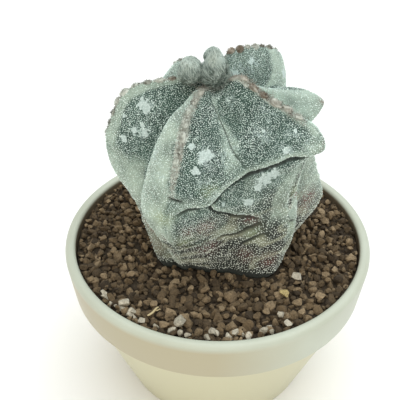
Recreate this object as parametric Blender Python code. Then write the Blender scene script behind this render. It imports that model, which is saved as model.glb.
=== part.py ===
"""A bishop's cap cactus in a nursery pot: a squat star-ribbed stem on its taproot,
three woolly buds, mineral grit with loose stones on it, and a moulded round pot.

The origin is the middle of the pot's foot, on the pot's axis, with +Z up. Sizes are
millimetres, and a mesh is turned to metres when it is made.
"""

import math
import random

import bmesh
import bpy
import numpy as np
from mathutils import Matrix, Vector, noise
from mathutils.bvhtree import BVHTree

MM = 0.001
GAP = 0.35

# Pot: a round collar pot with a thick lip, a tapered body and a foot ring.
POT_HEIGHT = 62.0
RIM_RADIUS = 57.5
LIP_WIDTH = 3.9
COLLAR_HEIGHT = 17.0
COLLAR_LOW_RADIUS = 55.4
BODY_TOP_RADIUS = 52.8
FOOT_RADIUS = 35.6
WALL = 2.0
FLOOR_LOW = 2.5
FLOOR_HIGH = 4.6
FOOT_RING_WIDTH = 3.0
DRAIN_RADIUS = 5.0
SIDE_DRAIN_RADIUS = 3.5
SIDE_DRAIN_CIRCLE = 21.0
SIDE_DRAINS = 4
POT_SIDES = 72

# Grit: filled to just under the lip.
GRIT_TOP = 59.6
GRIT_RELIEF = 0.5
GRIT_RELIEF_PITCH = 4.0

# Stem: six ribs round a woolly crown. Each rib has eleven stations from the crown (0)
# over the nose (6) and the tuck below it (7) to the foot (10), where the stem meets the
# grit. "bearing" is the station's direction in degrees from +X, "crest" its distance
# from the stem's axis and its height above the pot's rim, "groove" how far the valley
# towards the next rib lies behind the crests, and "bulge" how much the flank towards
# the next rib and the flank towards the last one swell.
STEM_X = -3.0
STEM_Y = 3.0
STATIONS = 10
RIBS = (
    {"name": "left", "bearing": (182, 182, 182, 182, 182, 182, 182, 184, 192, 208, 223),
     "crest": ((0, 63.5), (8, 66.8), (16, 66.5), (25, 64.7), (31.8, 59.3), (36, 49.5),
               (37.6, 41), (35.6, 31), (28.5, 20), (25.7, 9.5), (24.4, -2)),
     "groove": (0, 3, 7, 9, 9, 8, 6, 3, 2, 1, 0.5), "bulge": (0.10, 0.12)},
    {"name": "front_left", "bearing": (247, 247, 247, 247, 247, 247, 247, 247, 248, 249, 250),
     "crest": ((0, 63.5), (7, 66.3), (13, 65.2), (18.5, 62.8), (22.5, 57.5), (27.5, 49.5),
               (32.5, 36), (33, 25.5), (29, 15.5), (23.8, 6), (18.6, -2)),
     "groove": (0, 3, 6, 8, 7, 5, 3, 2, 1.5, 1, 0.5), "bulge": (0.10, 0.30)},
    {"name": "front_right", "bearing": (335, 335, 335, 335, 335, 335, 335, 333, 327, 320, 316),
     "crest": ((0, 63.5), (6, 67.5), (11.5, 70), (21.2, 65.2), (31.4, 60.8), (39.2, 56.6),
               (41.8, 50.4), (36.5, 43.8), (33.5, 28), (33.3, 12), (31.9, -2)),
     "groove": (0, 3, 6, 7, 7, 7, 7, 3, 4, 3, 1), "bulge": (0.14, 0.10)},
    {"name": "right", "bearing": (5, 5, 5, 5, 5, 5, 5, 5, 5, 5, 5),
     "crest": ((0, 63.5), (7, 65), (14, 63.2), (23, 60.4), (31, 59), (37.2, 57.8),
               (39.2, 55.2), (32.6, 51), (38.5, 30), (41.5, 13), (30, -2)),
     "groove": (0, 4, 7, 9, 10, 10, 9, 5, 4, 3, 1), "bulge": (0.20, 0.07)},
    {"name": "rear_right", "bearing": (48, 48, 48, 48, 48, 48, 48, 48, 50, 52, 54),
     "crest": ((0, 63.5), (7, 72.5), (12, 73.3), (21.5, 70.8), (30, 67), (36, 62.6),
               (37.2, 54), (36.5, 42), (36, 28), (32, 11), (27, -2)),
     "groove": (0, 4, 8, 11, 12, 11, 9, 6, 4, 2, 1), "bulge": (0.14, 0.14)},
    {"name": "rear_left", "bearing": (122, 122, 122, 122, 122, 122, 122, 122, 124, 128, 132),
     "crest": ((0, 63.5), (7, 67), (14, 66.6), (22, 63), (29, 56), (33.5, 47),
               (34, 38), (32, 28), (31, 18), (27, 8), (23.5, -2)),
     "groove": (0, 3, 7, 9, 9, 8, 6, 4, 3, 2, 1), "bulge": (0.15, 0.15)},
)
FLANK_STEPS = 6
STEM_ROWS = 32

# Old folds where the stem has shrunk and settled. A point is (flank, station): flank
# counts half ribs round the stem, with the left rib's crest at 1 and the valley
# after it at 2.
FOLDS = (
    {"line": ((5.25, 6.70), (5.00, 6.38), (4.80, 6.05), (4.60, 5.76), (4.42, 5.84), (4.28, 5.90),
              (4.10, 6.00), (3.97, 6.13), (3.83, 6.22), (3.70, 6.32), (3.48, 6.60)),
     "depth": 2.8, "lip": 0.9},
    {"line": ((3.04, 6.52), (3.15, 6.42), (3.24, 6.38), (3.50, 6.68), (3.62, 7.05),
              (3.78, 7.38), (4.05, 7.78), (4.30, 7.90), (4.46, 8.08)), "depth": 1.8, "lip": 0.7},
    {"line": ((3.65, 8.32), (3.80, 8.26), (4.05, 8.38), (4.28, 8.25), (4.50, 8.20)),
     "depth": 1.3, "lip": 0.8},
    {"line": ((7.60, 7.10), (8.00, 6.90), (8.60, 7.00), (9.10, 7.20)), "depth": 1.5, "lip": 0.8},
    {"line": ((9.60, 8.10), (10.10, 8.00), (10.80, 8.20)), "depth": 1.1, "lip": 0.6},
)
FOLD_RECOVERY = 4.5
FOLD_LIP_DISTANCE = 3.0

# Taproot below the last station: depth under the foot and how much narrower.
ROOT = ((2.5, 0.94), (7.5, 0.74), (13.0, 0.46), (17.5, 0.22))
ROOT_TIP = 20.0

# Buds: place on the crown, width, height and lean (degrees, towards +X and towards +Y).
BUDS = (
    {"name": "bud_front", "place": (-1.7, 0.2), "width": 7.9, "height": 14.6, "lean": (0, -2)},
    {"name": "bud_left", "place": (-9.8, 0.6), "width": 8.0, "height": 9.6, "lean": (-3, 0)},
    {"name": "bud_rear", "place": (-2.6, 8.6), "width": 6.0, "height": 6.6, "lean": (0, 3)},
)
BUD_SIDES = 16
BUD_ROWS = 9
ABOVE_CROWN = 150.0

# Loose stones on the grit: (x, y, longest size) of the ones set by hand.
PUMICE = (
    (29.1, -20.4, 4.4), (24.3, -29.9, 4.2), (22.4, -39.9, 3.4), (24.6, -44.6, 3.2),
    (-31.9, -36.6, 4.6), (-28.6, -39.9, 2.8), (-39.4, -31.4, 3.0), (-25.6, -44.4, 3.2),
    (-11.9, -45.2, 5.6), (-1.2, -49.2, 3.0),
)
LAVA_COUNT = 18
LAVA_SIZES = (3.2, 4.8)
LAVA_RING = (37.0, 49.5)
STONE_CLEARANCE = 1.4
STRAW_ENDS = ((-23.2, -41.6), (-20.0, -37.9))
STRAW_WIDTH = 1.0
STRAW_THICKNESS = 0.5


def material(name, colour, roughness):
    """A plain finish: linear colour and roughness."""
    made = bpy.data.materials.new(name)
    made.use_nodes = True
    shader = made.node_tree.nodes["Principled BSDF"]
    shader.inputs["Base Color"].default_value = (*colour, 1.0)
    shader.inputs["Roughness"].default_value = roughness
    shader.inputs["Metallic"].default_value = 0.0
    return made


def add_node(name, points, faces, finish, smooth=True):
    """One named object from points in millimetres, with its faces turned outwards."""
    mesh = bpy.data.meshes.new(name)
    mesh.from_pydata([tuple(float(c) * MM for c in point) for point in points], [], faces)
    work = bmesh.new()
    work.from_mesh(mesh)
    bmesh.ops.recalc_face_normals(work, faces=work.faces)
    work.to_mesh(mesh)
    work.free()
    mesh.materials.append(finish)
    if smooth:
        mesh.shade_smooth()
        mesh.set_sharp_from_angle(angle=math.radians(40))
    node = bpy.data.objects.new(name, mesh)
    bpy.context.collection.objects.link(node)
    return node


def loft(rows, start, end):
    """A closed skin over rings of equal count, drawn to a point at both ends."""
    count = len(rows[0])
    points = [tuple(point) for row in rows for point in row] + [tuple(start), tuple(end)]
    faces = []
    for row in range(len(rows) - 1):
        for side in range(count):
            following = (side + 1) % count
            faces.append((row * count + side, row * count + following,
                          (row + 1) * count + following, (row + 1) * count + side))
    last = (len(rows) - 1) * count
    for side in range(count):
        following = (side + 1) % count
        faces.append((len(points) - 2, following, side))
        faces.append((len(points) - 1, last + side, last + following))
    return points, faces


def arc(centre_r, centre_z, radius, start, end, steps):
    """Points (r, z) along a circular corner, with angles in degrees from +r."""
    angles = [math.radians(start + (end - start) * step / steps) for step in range(steps + 1)]
    return [(centre_r + radius * math.cos(a), centre_z + radius * math.sin(a)) for a in angles]


def surface_of(node):
    """A search tree over a node's faces, in metres."""
    mesh = node.data
    return BVHTree.FromPolygons([v.co for v in mesh.vertices], [p.vertices for p in mesh.polygons])


def settle(node, ground):
    """Lowers a node until its lowest part is GAP above the ground."""
    down = Vector((0, 0, -1))
    clear = []
    for vertex in node.data.vertices:
        hit = ground.ray_cast(vertex.co, down)[0]
        if hit is not None:
            clear.append(vertex.co.z - hit.z)
    node.data.transform(Matrix.Translation((0, 0, GAP * MM - min(clear))))


# --- the pot -------------------------------------------------------------------------

def inner_wall():
    """The pot's inner wall from the floor up to the lip, as (r, z)."""
    collar_low = POT_HEIGHT - COLLAR_HEIGHT
    return ((FOOT_RADIUS - WALL + 0.6, FLOOR_HIGH + 0.6),
            (BODY_TOP_RADIUS - WALL, collar_low),
            (COLLAR_LOW_RADIUS - WALL - 0.3, collar_low + 1.6),
            (RIM_RADIUS - LIP_WIDTH, POT_HEIGHT - 1.2))


def pot_section():
    """The closed outline of the pot's wall and floor, as (r, z)."""
    collar_low = POT_HEIGHT - COLLAR_HEIGHT
    section = [(DRAIN_RADIUS, FLOOR_LOW), (FOOT_RADIUS - FOOT_RING_WIDTH - 0.5, FLOOR_LOW),
               (FOOT_RADIUS - FOOT_RING_WIDTH, 0.0), (FOOT_RADIUS - 0.6, 0.0), (FOOT_RADIUS, 0.7),
               (BODY_TOP_RADIUS, collar_low), (COLLAR_LOW_RADIUS - 0.5, collar_low),
               (COLLAR_LOW_RADIUS, collar_low + 0.6)]
    section += arc(RIM_RADIUS - 1.4, POT_HEIGHT - 1.4, 1.4, 0, 90, 3)
    section += arc(RIM_RADIUS - LIP_WIDTH + 1.0, POT_HEIGHT - 1.0, 1.0, 90, 180, 2)
    section += list(reversed(inner_wall()))[1:]
    section += [(FOOT_RADIUS - WALL - 0.2, FLOOR_HIGH), (DRAIN_RADIUS, FLOOR_HIGH)]
    return section


def drain_cutter(index):
    """A short upright cylinder that cuts one of the drain holes round the floor."""
    angle = 2 * math.pi * (index + 0.5) / SIDE_DRAINS
    work = bmesh.new()
    bmesh.ops.create_cone(work, cap_ends=True, segments=16, radius1=SIDE_DRAIN_RADIUS * MM,
                          radius2=SIDE_DRAIN_RADIUS * MM, depth=3 * FLOOR_HIGH * MM)
    mesh = bpy.data.meshes.new("drain_cutter_%d" % index)
    work.to_mesh(mesh)
    work.free()
    cutter = bpy.data.objects.new(mesh.name, mesh)
    cutter.location = (SIDE_DRAIN_CIRCLE * math.cos(angle) * MM,
                       SIDE_DRAIN_CIRCLE * math.sin(angle) * MM, FLOOR_LOW * MM)
    cutter.hide_render = True
    cutter.display_type = "WIRE"
    bpy.context.collection.objects.link(cutter)
    return cutter


def build_pot():
    section = pot_section()
    points = []
    for r, z in section:
        for side in range(POT_SIDES):
            angle = 2 * math.pi * side / POT_SIDES
            points.append((r * math.cos(angle), r * math.sin(angle), z))
    faces = []
    for ring in range(len(section)):
        above = (ring + 1) % len(section)
        for side in range(POT_SIDES):
            following = (side + 1) % POT_SIDES
            faces.append((ring * POT_SIDES + side, ring * POT_SIDES + following,
                          above * POT_SIDES + following, above * POT_SIDES + side))
    pot = add_node("pot", points, faces, material("cream_polypropylene", (0.60, 0.60, 0.48), 0.45))
    for index in range(SIDE_DRAINS):
        cut = pot.modifiers.new("drain_%d" % index, "BOOLEAN")
        cut.operation = "DIFFERENCE"
        cut.object = drain_cutter(index)
    return pot


# --- the stem ------------------------------------------------------------------------

def spread(values, count):
    """Values at even stations read at `count` even places along a smooth curve."""
    values = np.asarray(values, float)
    if values.ndim == 1:
        return spread(values[:, None], count)[:, 0]
    slope = np.gradient(values, axis=0)
    place = np.linspace(0, len(values) - 1, count)
    low = np.minimum(place.astype(int), len(values) - 2)
    t = (place - low)[:, None]
    return ((2 * t**3 - 3 * t**2 + 1) * values[low] + (t**3 - 2 * t**2 + t) * slope[low]
            + (3 * t**2 - 2 * t**3) * values[low + 1] + (t**3 - t**2) * slope[low + 1])


def crest_line(rib, count):
    """The rib's edge from crown to foot."""
    section = spread(rib["crest"], count)
    bearing = np.radians(spread(rib["bearing"], count))
    return np.stack([STEM_X + section[:, 0] * np.cos(bearing),
                     STEM_Y + section[:, 0] * np.sin(bearing),
                     section[:, 1] + POT_HEIGHT], 1)


def valley_line(rib, following, count):
    """The groove between a rib and the following one. It lies under the crests on the
    crown and behind them down the side."""
    line = (crest_line(rib, count) + crest_line(following, count)) / 2
    outward = line[:, :2] - np.array([STEM_X, STEM_Y])
    reach = np.linalg.norm(outward, axis=1)
    outward = outward / np.maximum(reach, 1e-6)[:, None]
    groove = spread(rib["groove"], count)
    down = np.radians(np.interp(np.linspace(0, STATIONS, count), (0, 2, 5, STATIONS), (90, 70, 20, 0)))
    line[:, :2] -= outward * np.minimum(groove * np.cos(down), 0.6 * reach)[:, None]
    line[:, 2] -= groove * np.sin(down)
    return line


def stem_grid(rows, steps):
    """The stem's skin: `rows` rings from crown to foot, with `steps` columns a flank.
    Column 0 is the valley before the left rib."""
    crests = [crest_line(rib, rows) for rib in RIBS]
    valleys = [valley_line(rib, RIBS[(i + 1) % len(RIBS)], rows) for i, rib in enumerate(RIBS)]
    columns = []
    for i, rib in enumerate(RIBS):
        for side in (-1, 1):
            valley = valleys[i] if side > 0 else valleys[i - 1]
            across = valley - crests[i]
            swell = side * np.stack([across[:, 1], -across[:, 0], 0 * across[:, 0]], 1)
            swell *= rib["bulge"][0 if side > 0 else 1]
            for step in range(steps):
                part = step / steps if side > 0 else 1 - step / steps
                columns.append(crests[i] + across * part + swell * (4 * part * (1 - part)))
    return np.stack(columns, 1)


def at_station(grid, flank, station):
    """The point of the skin at a (flank, station) place."""
    rows, columns = grid.shape[:2]
    column = flank / (2 * len(RIBS)) * columns
    row = min(station / STATIONS * (rows - 1), rows - 1.001)
    r0, c0 = int(row), int(column)
    tr, tc = row - r0, column - c0
    c0, c1 = c0 % columns, (c0 + 1) % columns
    return ((grid[r0, c0] * (1 - tc) + grid[r0, c1] * tc) * (1 - tr)
            + (grid[r0 + 1, c0] * (1 - tc) + grid[r0 + 1, c1] * tc) * tr)


def press_fold(grid, fold):
    """Sinks the skin just under the fold's line and swells it into a lip just over it."""
    line = np.array([at_station(grid, *place) for place in fold["line"]])
    along = np.linspace(0, len(line) - 1, 60)
    dense = np.stack([np.interp(along, range(len(line)), line[:, axis]) for axis in range(3)], 1)
    taper = np.sqrt(np.clip(np.sin(np.pi * np.linspace(0.04, 0.96, 60)), 0, 1))
    away = grid[:, :, None, :] - dense
    nearest = np.argmin((away**2).sum(3), axis=2)
    offset = np.take_along_axis(away, nearest[:, :, None, None], 2)[:, :, 0]
    distance = np.linalg.norm(offset, axis=2)
    over = offset[:, :, 2] > 0.2
    lip = fold["lip"] * np.exp(-((distance - FOLD_LIP_DISTANCE) / 2.2) ** 2)
    sink = -fold["depth"] * np.exp(-distance / FOLD_RECOVERY)
    push = np.where(over, lip, sink) * taper[nearest]
    outward = grid[:, :, :2] - np.array([STEM_X, STEM_Y])
    outward /= np.maximum(np.linalg.norm(outward, axis=2, keepdims=True), 1e-6)
    grid[:, :, :2] += outward * push[:, :, None]


def root_ring(foot, depth, scale, margin=0.0):
    """A ring of the taproot, or of the hollow round it where a margin is given."""
    axis = np.array([STEM_X, STEM_Y])
    outward = foot[:, :2] - axis
    reach = np.linalg.norm(outward, axis=1, keepdims=True)
    ring = foot.copy()
    ring[:, :2] = axis + outward * scale + outward / reach * margin
    ring[:, 2] = foot[:, 2] - depth
    return ring


def build_stem():
    """The stem and its taproot in one skin. Returns the node and the skin's rings."""
    grid = stem_grid(STEM_ROWS, FLANK_STEPS)
    for fold in FOLDS:
        press_fold(grid, fold)
    foot = grid[-1].copy()
    rings = list(grid[1:]) + [root_ring(foot, depth, scale) for depth, scale in ROOT]
    tip = (STEM_X, STEM_Y, foot[0, 2] - ROOT_TIP)
    points, faces = loft(rings, grid[0].mean(0), tip)
    stem = add_node("cactus_stem", points, faces, material("stem_skin", (0.15, 0.22, 0.18), 0.8))
    return stem, grid


# --- the grit ------------------------------------------------------------------------

def wall_reach(point, radius):
    """Where the line from the stem's axis through a point meets a circle of the pot."""
    axis = Vector((STEM_X, STEM_Y))
    direction = (Vector(point[:2]) - axis).normalized()
    along = -axis.dot(direction)
    reach = along + math.sqrt(along**2 - axis.length_squared + radius**2)
    return axis + direction * reach


def grit_height(x, y):
    """The low relief of the levelled grit."""
    return GRIT_TOP + GRIT_RELIEF * noise.noise(Vector((x, y, 0)) / GRIT_RELIEF_PITCH)


def build_grit(foot):
    """The packed grit as one body: under it the pot's floor, round it the pot's wall,
    and in its middle the hollow that the taproot fills."""
    wall = [(r - GAP - 0.1, z + GAP) for r, z in inner_wall()[:3]]
    top_radius = RIM_RADIUS - LIP_WIDTH - GAP - 0.15
    wall.append((top_radius, GRIT_TOP - 0.6))
    rings = []
    for r, z in [(FOOT_RADIUS - WALL - 1.2, FLOOR_HIGH + GAP)] + wall:
        edge = [wall_reach(point, r) for point in foot]
        rings.append([(point.x, point.y, z) for point in edge])
    collar = root_ring(foot, foot[0, 2] - GRIT_TOP, 1.0, margin=GAP + 0.1)
    for part in (0.97, 0.86, 0.72, 0.58, 0.44, 0.31, 0.19, 0.09):
        ring = []
        for point in collar:
            edge = wall_reach(point, top_radius)
            x = point[0] + (edge.x - point[0]) * part
            y = point[1] + (edge.y - point[1]) * part
            ring.append((x, y, grit_height(x, y)))
        rings.append(ring)
    rings.append([(x, y, GRIT_TOP - 0.2) for x, y, _ in collar])
    for depth, scale in ROOT:
        rings.append([tuple(point) for point in root_ring(foot, depth, scale, margin=GAP + 0.1)])
    low = (0.0, 0.0, FLOOR_HIGH + GAP)
    hollow = (STEM_X, STEM_Y, foot[0, 2] - ROOT_TIP - GAP - 0.1)
    points, faces = loft(rings, low, hollow)
    return add_node("substrate", points, faces, material("lava_grit", (0.085, 0.062, 0.040), 0.95))


# --- the buds ------------------------------------------------------------------------

def build_bud(bud, finish, crown):
    """A woolly bud: an egg that narrows to its foot, seated on the crown."""
    foot = Vector((*bud["place"], ABOVE_CROWN))
    lean = (Matrix.Rotation(math.radians(bud["lean"][0]), 3, "Y")
            @ Matrix.Rotation(math.radians(-bud["lean"][1]), 3, "X"))
    rings = []
    for row in range(1, BUD_ROWS):
        part = row / BUD_ROWS
        half = bud["width"] / 2 * math.sin(math.pi * part ** 0.85) ** 0.55
        ring = []
        for side in range(BUD_SIDES):
            angle = 2 * math.pi * side / BUD_SIDES
            place = Vector((half * math.cos(angle), half * math.sin(angle), bud["height"] * part))
            ring.append(tuple(foot + lean @ place))
        rings.append(ring)
    top = tuple(foot + lean @ Vector((0, 0, bud["height"])))
    points, faces = loft(rings, tuple(foot), top)
    settle(add_node(bud["name"], points, faces, finish), crown)


# --- the loose stones and the straw --------------------------------------------------

def build_stone(name, x, y, size, seed, finish, ground):
    """A crushed grain: a ball with broken, flattened sides, lying on its broad side."""
    draw = random.Random(seed)
    work = bmesh.new()
    bmesh.ops.create_icosphere(work, subdivisions=2, radius=size / 2)
    turn = Matrix.Rotation(draw.uniform(0, 2 * math.pi), 3, "Z")
    squash = Matrix.Diagonal((1.0, draw.uniform(0.72, 0.92), draw.uniform(0.52, 0.70)))
    for vertex in work.verts:
        rough = 1 + 0.16 * noise.noise(vertex.co * (2.2 / size) + Vector((seed, 0, 0)))
        vertex.co = turn @ squash @ (vertex.co * rough)
    high = GRIT_TOP + size
    points = [(v.co.x + x, v.co.y + y, v.co.z + high) for v in work.verts]
    faces = [tuple(v.index for v in face.verts) for face in work.faces]
    work.free()
    stone = add_node(name, points, faces, finish, smooth=False)
    settle(stone, ground)
    return stone


def stem_reach(grid, x, y, height):
    """How far the stem reaches from its axis towards (x, y), below a height."""
    low = grid[grid[:, :, 2].min(1) < height].reshape(-1, 3)
    low = low[low[:, 2] < height]
    bearing = math.atan2(y - STEM_Y, x - STEM_X)
    turn = np.arctan2(low[:, 1] - STEM_Y, low[:, 0] - STEM_X) - bearing
    near = np.abs((turn + np.pi) % (2 * np.pi) - np.pi) < math.radians(12)
    return float(np.hypot(low[near, 0] - STEM_X, low[near, 1] - STEM_Y).max())


def build_stones(grid, ground):
    """The pale pumice set by hand, then dark lava wherever there is room."""
    taken = [(x, y, size) for x, y, size in PUMICE]
    taken += [(x, y, STRAW_WIDTH * 3) for x, y in STRAW_ENDS]
    pumice = material("pumice", (0.40, 0.37, 0.29), 0.95)
    for index, (x, y, size) in enumerate(PUMICE):
        build_stone("pumice_%02d" % (index + 1), x, y, size, 11 + index, pumice, ground)
    lava = material("lava_stone", (0.075, 0.052, 0.036), 0.95)
    draw = random.Random(7)
    made = 0
    while made < LAVA_COUNT:
        angle = 2 * math.pi * (made + draw.uniform(-0.3, 0.3)) / LAVA_COUNT
        radius = draw.uniform(*LAVA_RING)
        size = draw.uniform(*LAVA_SIZES)
        x, y = radius * math.cos(angle), radius * math.sin(angle)
        clear = all(math.hypot(x - a, y - b) > (size + c) / 2 + STONE_CLEARANCE for a, b, c in taken)
        reach = math.hypot(x - STEM_X, y - STEM_Y) - size / 2 - STONE_CLEARANCE
        if not clear or reach < stem_reach(grid, x, y, GRIT_TOP + 8):
            continue
        made += 1
        taken.append((x, y, size))
        build_stone("lava_%02d" % made, x, y, size, 40 + made, lava, ground)


def build_straw(ground):
    """A dry splinter of straw lying on the grit."""
    start, end = (Vector((*place, GRIT_TOP + 3)) for place in STRAW_ENDS)
    along = (end - start).normalized()
    across = Vector((-along.y, along.x, 0)) * STRAW_WIDTH / 2
    lift = Vector((0, 0, STRAW_THICKNESS))
    points = [start - across, start + across, end + across * 0.6, end - across * 0.6]
    points += [point + lift for point in points]
    faces = [(0, 1, 2, 3), (4, 5, 6, 7), (0, 1, 5, 4), (1, 2, 6, 5), (2, 3, 7, 6), (3, 0, 4, 7)]
    straw = add_node("straw_splinter", points, faces, material("dry_straw", (0.45, 0.34, 0.18), 0.7),
                     smooth=False)
    settle(straw, ground)


def build():
    for old in list(bpy.data.objects):
        bpy.data.objects.remove(old)
    build_pot()
    stem, grid = build_stem()
    crown = surface_of(stem)
    wool = material("bud_wool", (0.30, 0.33, 0.28), 0.95)
    for bud in BUDS:
        build_bud(bud, wool, crown)
    ground = surface_of(build_grit(grid[-1]))
    build_stones(grid, ground)
    build_straw(ground)


build()
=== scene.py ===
"""The looks of a potted bishop's cap cactus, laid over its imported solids.

Each section makes one piece as it is put together: the pot, the stem, its flecks, its
areoles, its buds, the grit, the loose stones and the straw. Then come floor, lights
and camera. Working sizes are millimetres, and add_piece() turns them to metres.
"""

import math
import random

import bmesh
import bpy
import numpy as np
from mathutils import Matrix, Vector


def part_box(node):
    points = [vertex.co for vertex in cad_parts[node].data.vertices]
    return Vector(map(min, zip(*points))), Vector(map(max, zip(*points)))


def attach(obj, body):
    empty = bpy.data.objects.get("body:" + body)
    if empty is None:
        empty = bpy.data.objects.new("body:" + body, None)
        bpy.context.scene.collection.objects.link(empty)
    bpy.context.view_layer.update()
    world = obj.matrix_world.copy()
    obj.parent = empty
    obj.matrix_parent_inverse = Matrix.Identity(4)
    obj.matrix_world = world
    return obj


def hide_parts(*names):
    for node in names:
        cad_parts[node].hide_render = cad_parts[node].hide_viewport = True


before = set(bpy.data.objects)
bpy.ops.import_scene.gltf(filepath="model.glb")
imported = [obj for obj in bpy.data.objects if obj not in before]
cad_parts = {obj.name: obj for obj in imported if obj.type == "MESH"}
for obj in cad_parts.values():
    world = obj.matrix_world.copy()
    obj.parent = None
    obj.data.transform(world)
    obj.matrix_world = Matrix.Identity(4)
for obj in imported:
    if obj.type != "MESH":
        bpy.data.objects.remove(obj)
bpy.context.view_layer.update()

# --- The pot -------------------------------------------------------------------------
# A thin-walled nursery pot with a thick rolled lip and a deep collar, injection moulded
# in cream polypropylene. It stands on a narrow foot ring round its recessed floor.

POT_TOP_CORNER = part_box("pot")[1]
RIM_RADIUS = POT_TOP_CORNER.x * 1000
POT_HEIGHT = POT_TOP_CORNER.z * 1000
LIP_WIDTH = 3.9
MOUTH_RADIUS = RIM_RADIUS - LIP_WIDTH
COLLAR_HEIGHT = 17.0
COLLAR_LOW = POT_HEIGHT - COLLAR_HEIGHT
COLLAR_LOW_RADIUS = 55.4
BODY_TOP_RADIUS = 52.8
FOOT_RADIUS = 35.6
WALL = 2.0
FLOOR_LOW = 2.5
FLOOR_HIGH = 4.6
FOOT_RING_WIDTH = 3.0
FOOT_ROUND = 0.6
COLLAR_ROUND = 0.5
LIP_ROUND = 2.0
MOUTH_ROUND = 1.4
DRAIN_RADIUS = 5.0
SIDE_DRAIN_RADIUS = 3.5
SIDE_DRAIN_CIRCLE = 21.0
SIDE_DRAINS = 4
POT_SIDES = 192
# The mould's own grain is too fine to show, so it is drawn half a millimetre wide.
POT_CLOUDS = 200 / 9
POT_GRAIN = 5 / 9


def linear(code):
    """A linear colour from an sRGB hex value."""
    parts = [int(code[i:i + 2], 16) / 255 for i in (1, 3, 5)]
    parts = [c / 12.92 if c <= 0.04045 else ((c + 0.055) / 1.055) ** 2.4 for c in parts]
    return (*parts, 1.0)


def new_material(name, roughness, **sockets):
    """A material with its Principled shader set, and its node tree."""
    made = bpy.data.materials.new(name)
    made.use_nodes = True
    shader = made.node_tree.nodes["Principled BSDF"]
    shader.inputs["Roughness"].default_value = roughness
    for socket, value in sockets.items():
        shader.inputs[socket.replace("_", " ")].default_value = value
    return made, made.node_tree, shader


def add(tree, kind, inputs=None, output=0, **settings):
    """Adds one shader node with its settings and gives one of its outputs. Each input is
    a value, a colour in hex or the output that feeds it."""
    made = tree.nodes.new("ShaderNode" + kind)
    for setting, value in settings.items():
        setattr(made, setting, value)
    for socket, value in (inputs or {}).items():
        if isinstance(value, bpy.types.NodeSocket):
            tree.links.new(value, made.inputs[socket])
        else:
            made.inputs[socket].default_value = linear(value) if isinstance(value, str) else value
    return made.outputs[output]


def add_piece(name, points, faces, material, slot, smooth=True, numbers=None):
    """A piece from points in millimetres that rides on the part's one body."""
    mesh = bpy.data.meshes.new(name)
    faces = faces.tolist() if isinstance(faces, np.ndarray) else faces
    mesh.from_pydata((np.asarray(points, float) * 0.001).tolist(), [], faces)
    mesh.validate()
    mesh.materials.append(material)
    for label, numbers_here in (numbers or {}).items():
        layer = mesh.attributes.new(label, "FLOAT", "POINT")
        layer.data.foreach_set("value", np.asarray(numbers_here, np.float32).ravel())
    if smooth:
        mesh.shade_smooth()
    piece = bpy.data.objects.new(name, mesh)
    bpy.context.scene.collection.objects.link(piece)
    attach(piece, "root")
    return piece


def arc(centre_r, centre_z, radius, start, end, steps):
    """Points (r, z) along a round corner, its angles in degrees from +r towards +z."""
    angles = [math.radians(start + (end - start) * step / steps) for step in range(steps + 1)]
    return [(centre_r + radius * math.cos(a), centre_z + radius * math.sin(a)) for a in angles]


def pot_section():
    """The closed outline of the pot's wall and floor, as (r, z)."""
    return [(DRAIN_RADIUS, FLOOR_LOW), (FOOT_RADIUS - FOOT_RING_WIDTH - 0.5, FLOOR_LOW),
            (FOOT_RADIUS - FOOT_RING_WIDTH, 0.0),
            *arc(FOOT_RADIUS - FOOT_ROUND, FOOT_ROUND, FOOT_ROUND, 270, 345, 3),
            (BODY_TOP_RADIUS - 0.02, COLLAR_LOW - 0.6), (BODY_TOP_RADIUS + 0.2, COLLAR_LOW),
            *arc(COLLAR_LOW_RADIUS - COLLAR_ROUND, COLLAR_LOW + COLLAR_ROUND, COLLAR_ROUND,
                 270, 352, 4),
            *arc(RIM_RADIUS - LIP_ROUND, POT_HEIGHT - LIP_ROUND, LIP_ROUND, 0, 90, 10),
            *arc(MOUTH_RADIUS + MOUTH_ROUND, POT_HEIGHT - MOUTH_ROUND, MOUTH_ROUND, 90, 180, 8),
            (COLLAR_LOW_RADIUS - WALL - 0.3, COLLAR_LOW + 1.6), (BODY_TOP_RADIUS - WALL, COLLAR_LOW),
            (FOOT_RADIUS - WALL + 0.6, FLOOR_HIGH + 0.6), (FOOT_RADIUS - WALL - 0.2, FLOOR_HIGH),
            (DRAIN_RADIUS, FLOOR_HIGH)]


def turned(section, sides):
    """Points and faces of a closed outline turned round the pot's axis."""
    angles = 2 * np.pi * np.arange(sides) / sides
    r, z = np.array(section).T
    points = np.stack([np.outer(r, np.cos(angles)), np.outer(r, np.sin(angles)),
                       np.outer(z, np.ones(sides))], 2).reshape(-1, 3)
    ring, side = np.meshgrid(np.arange(len(section)), np.arange(sides), indexing="ij")
    above, following = (ring + 1) % len(section), (side + 1) % sides
    faces = np.stack([ring * sides + side, ring * sides + following,
                      above * sides + following, above * sides + side], 2).reshape(-1, 4)
    return points, faces


def paint_over(tree, below, above, share, *edges):
    """Lays one colour over another by a share. Each edge thins it further: it is a value,
    where the paint starts and where it is full, and how much that is if not all."""
    for value, *limits in edges:
        limits = dict(zip(("From Min", "From Max", "To Max"), limits))
        part = add(tree, "MapRange", {"Value": value, **limits})
        share = add(tree, "Math", {0: share, 1: part}, operation="MULTIPLY")
    return add(tree, "Mix", {0: share, 6: below, 7: above}, 2, data_type="RGBA")


def finish_shader(tree, shader, colour, relief=None, strength=0.0, depth=0.0):
    """Gives the shader its colour and, where there is one, its relief."""
    tree.links.new(colour, shader.inputs["Base Color"])
    if relief:
        bump = add(tree, "Bump", {"Height": relief, "Strength": strength, "Distance": depth})
        tree.links.new(bump, shader.inputs["Normal"])


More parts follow.
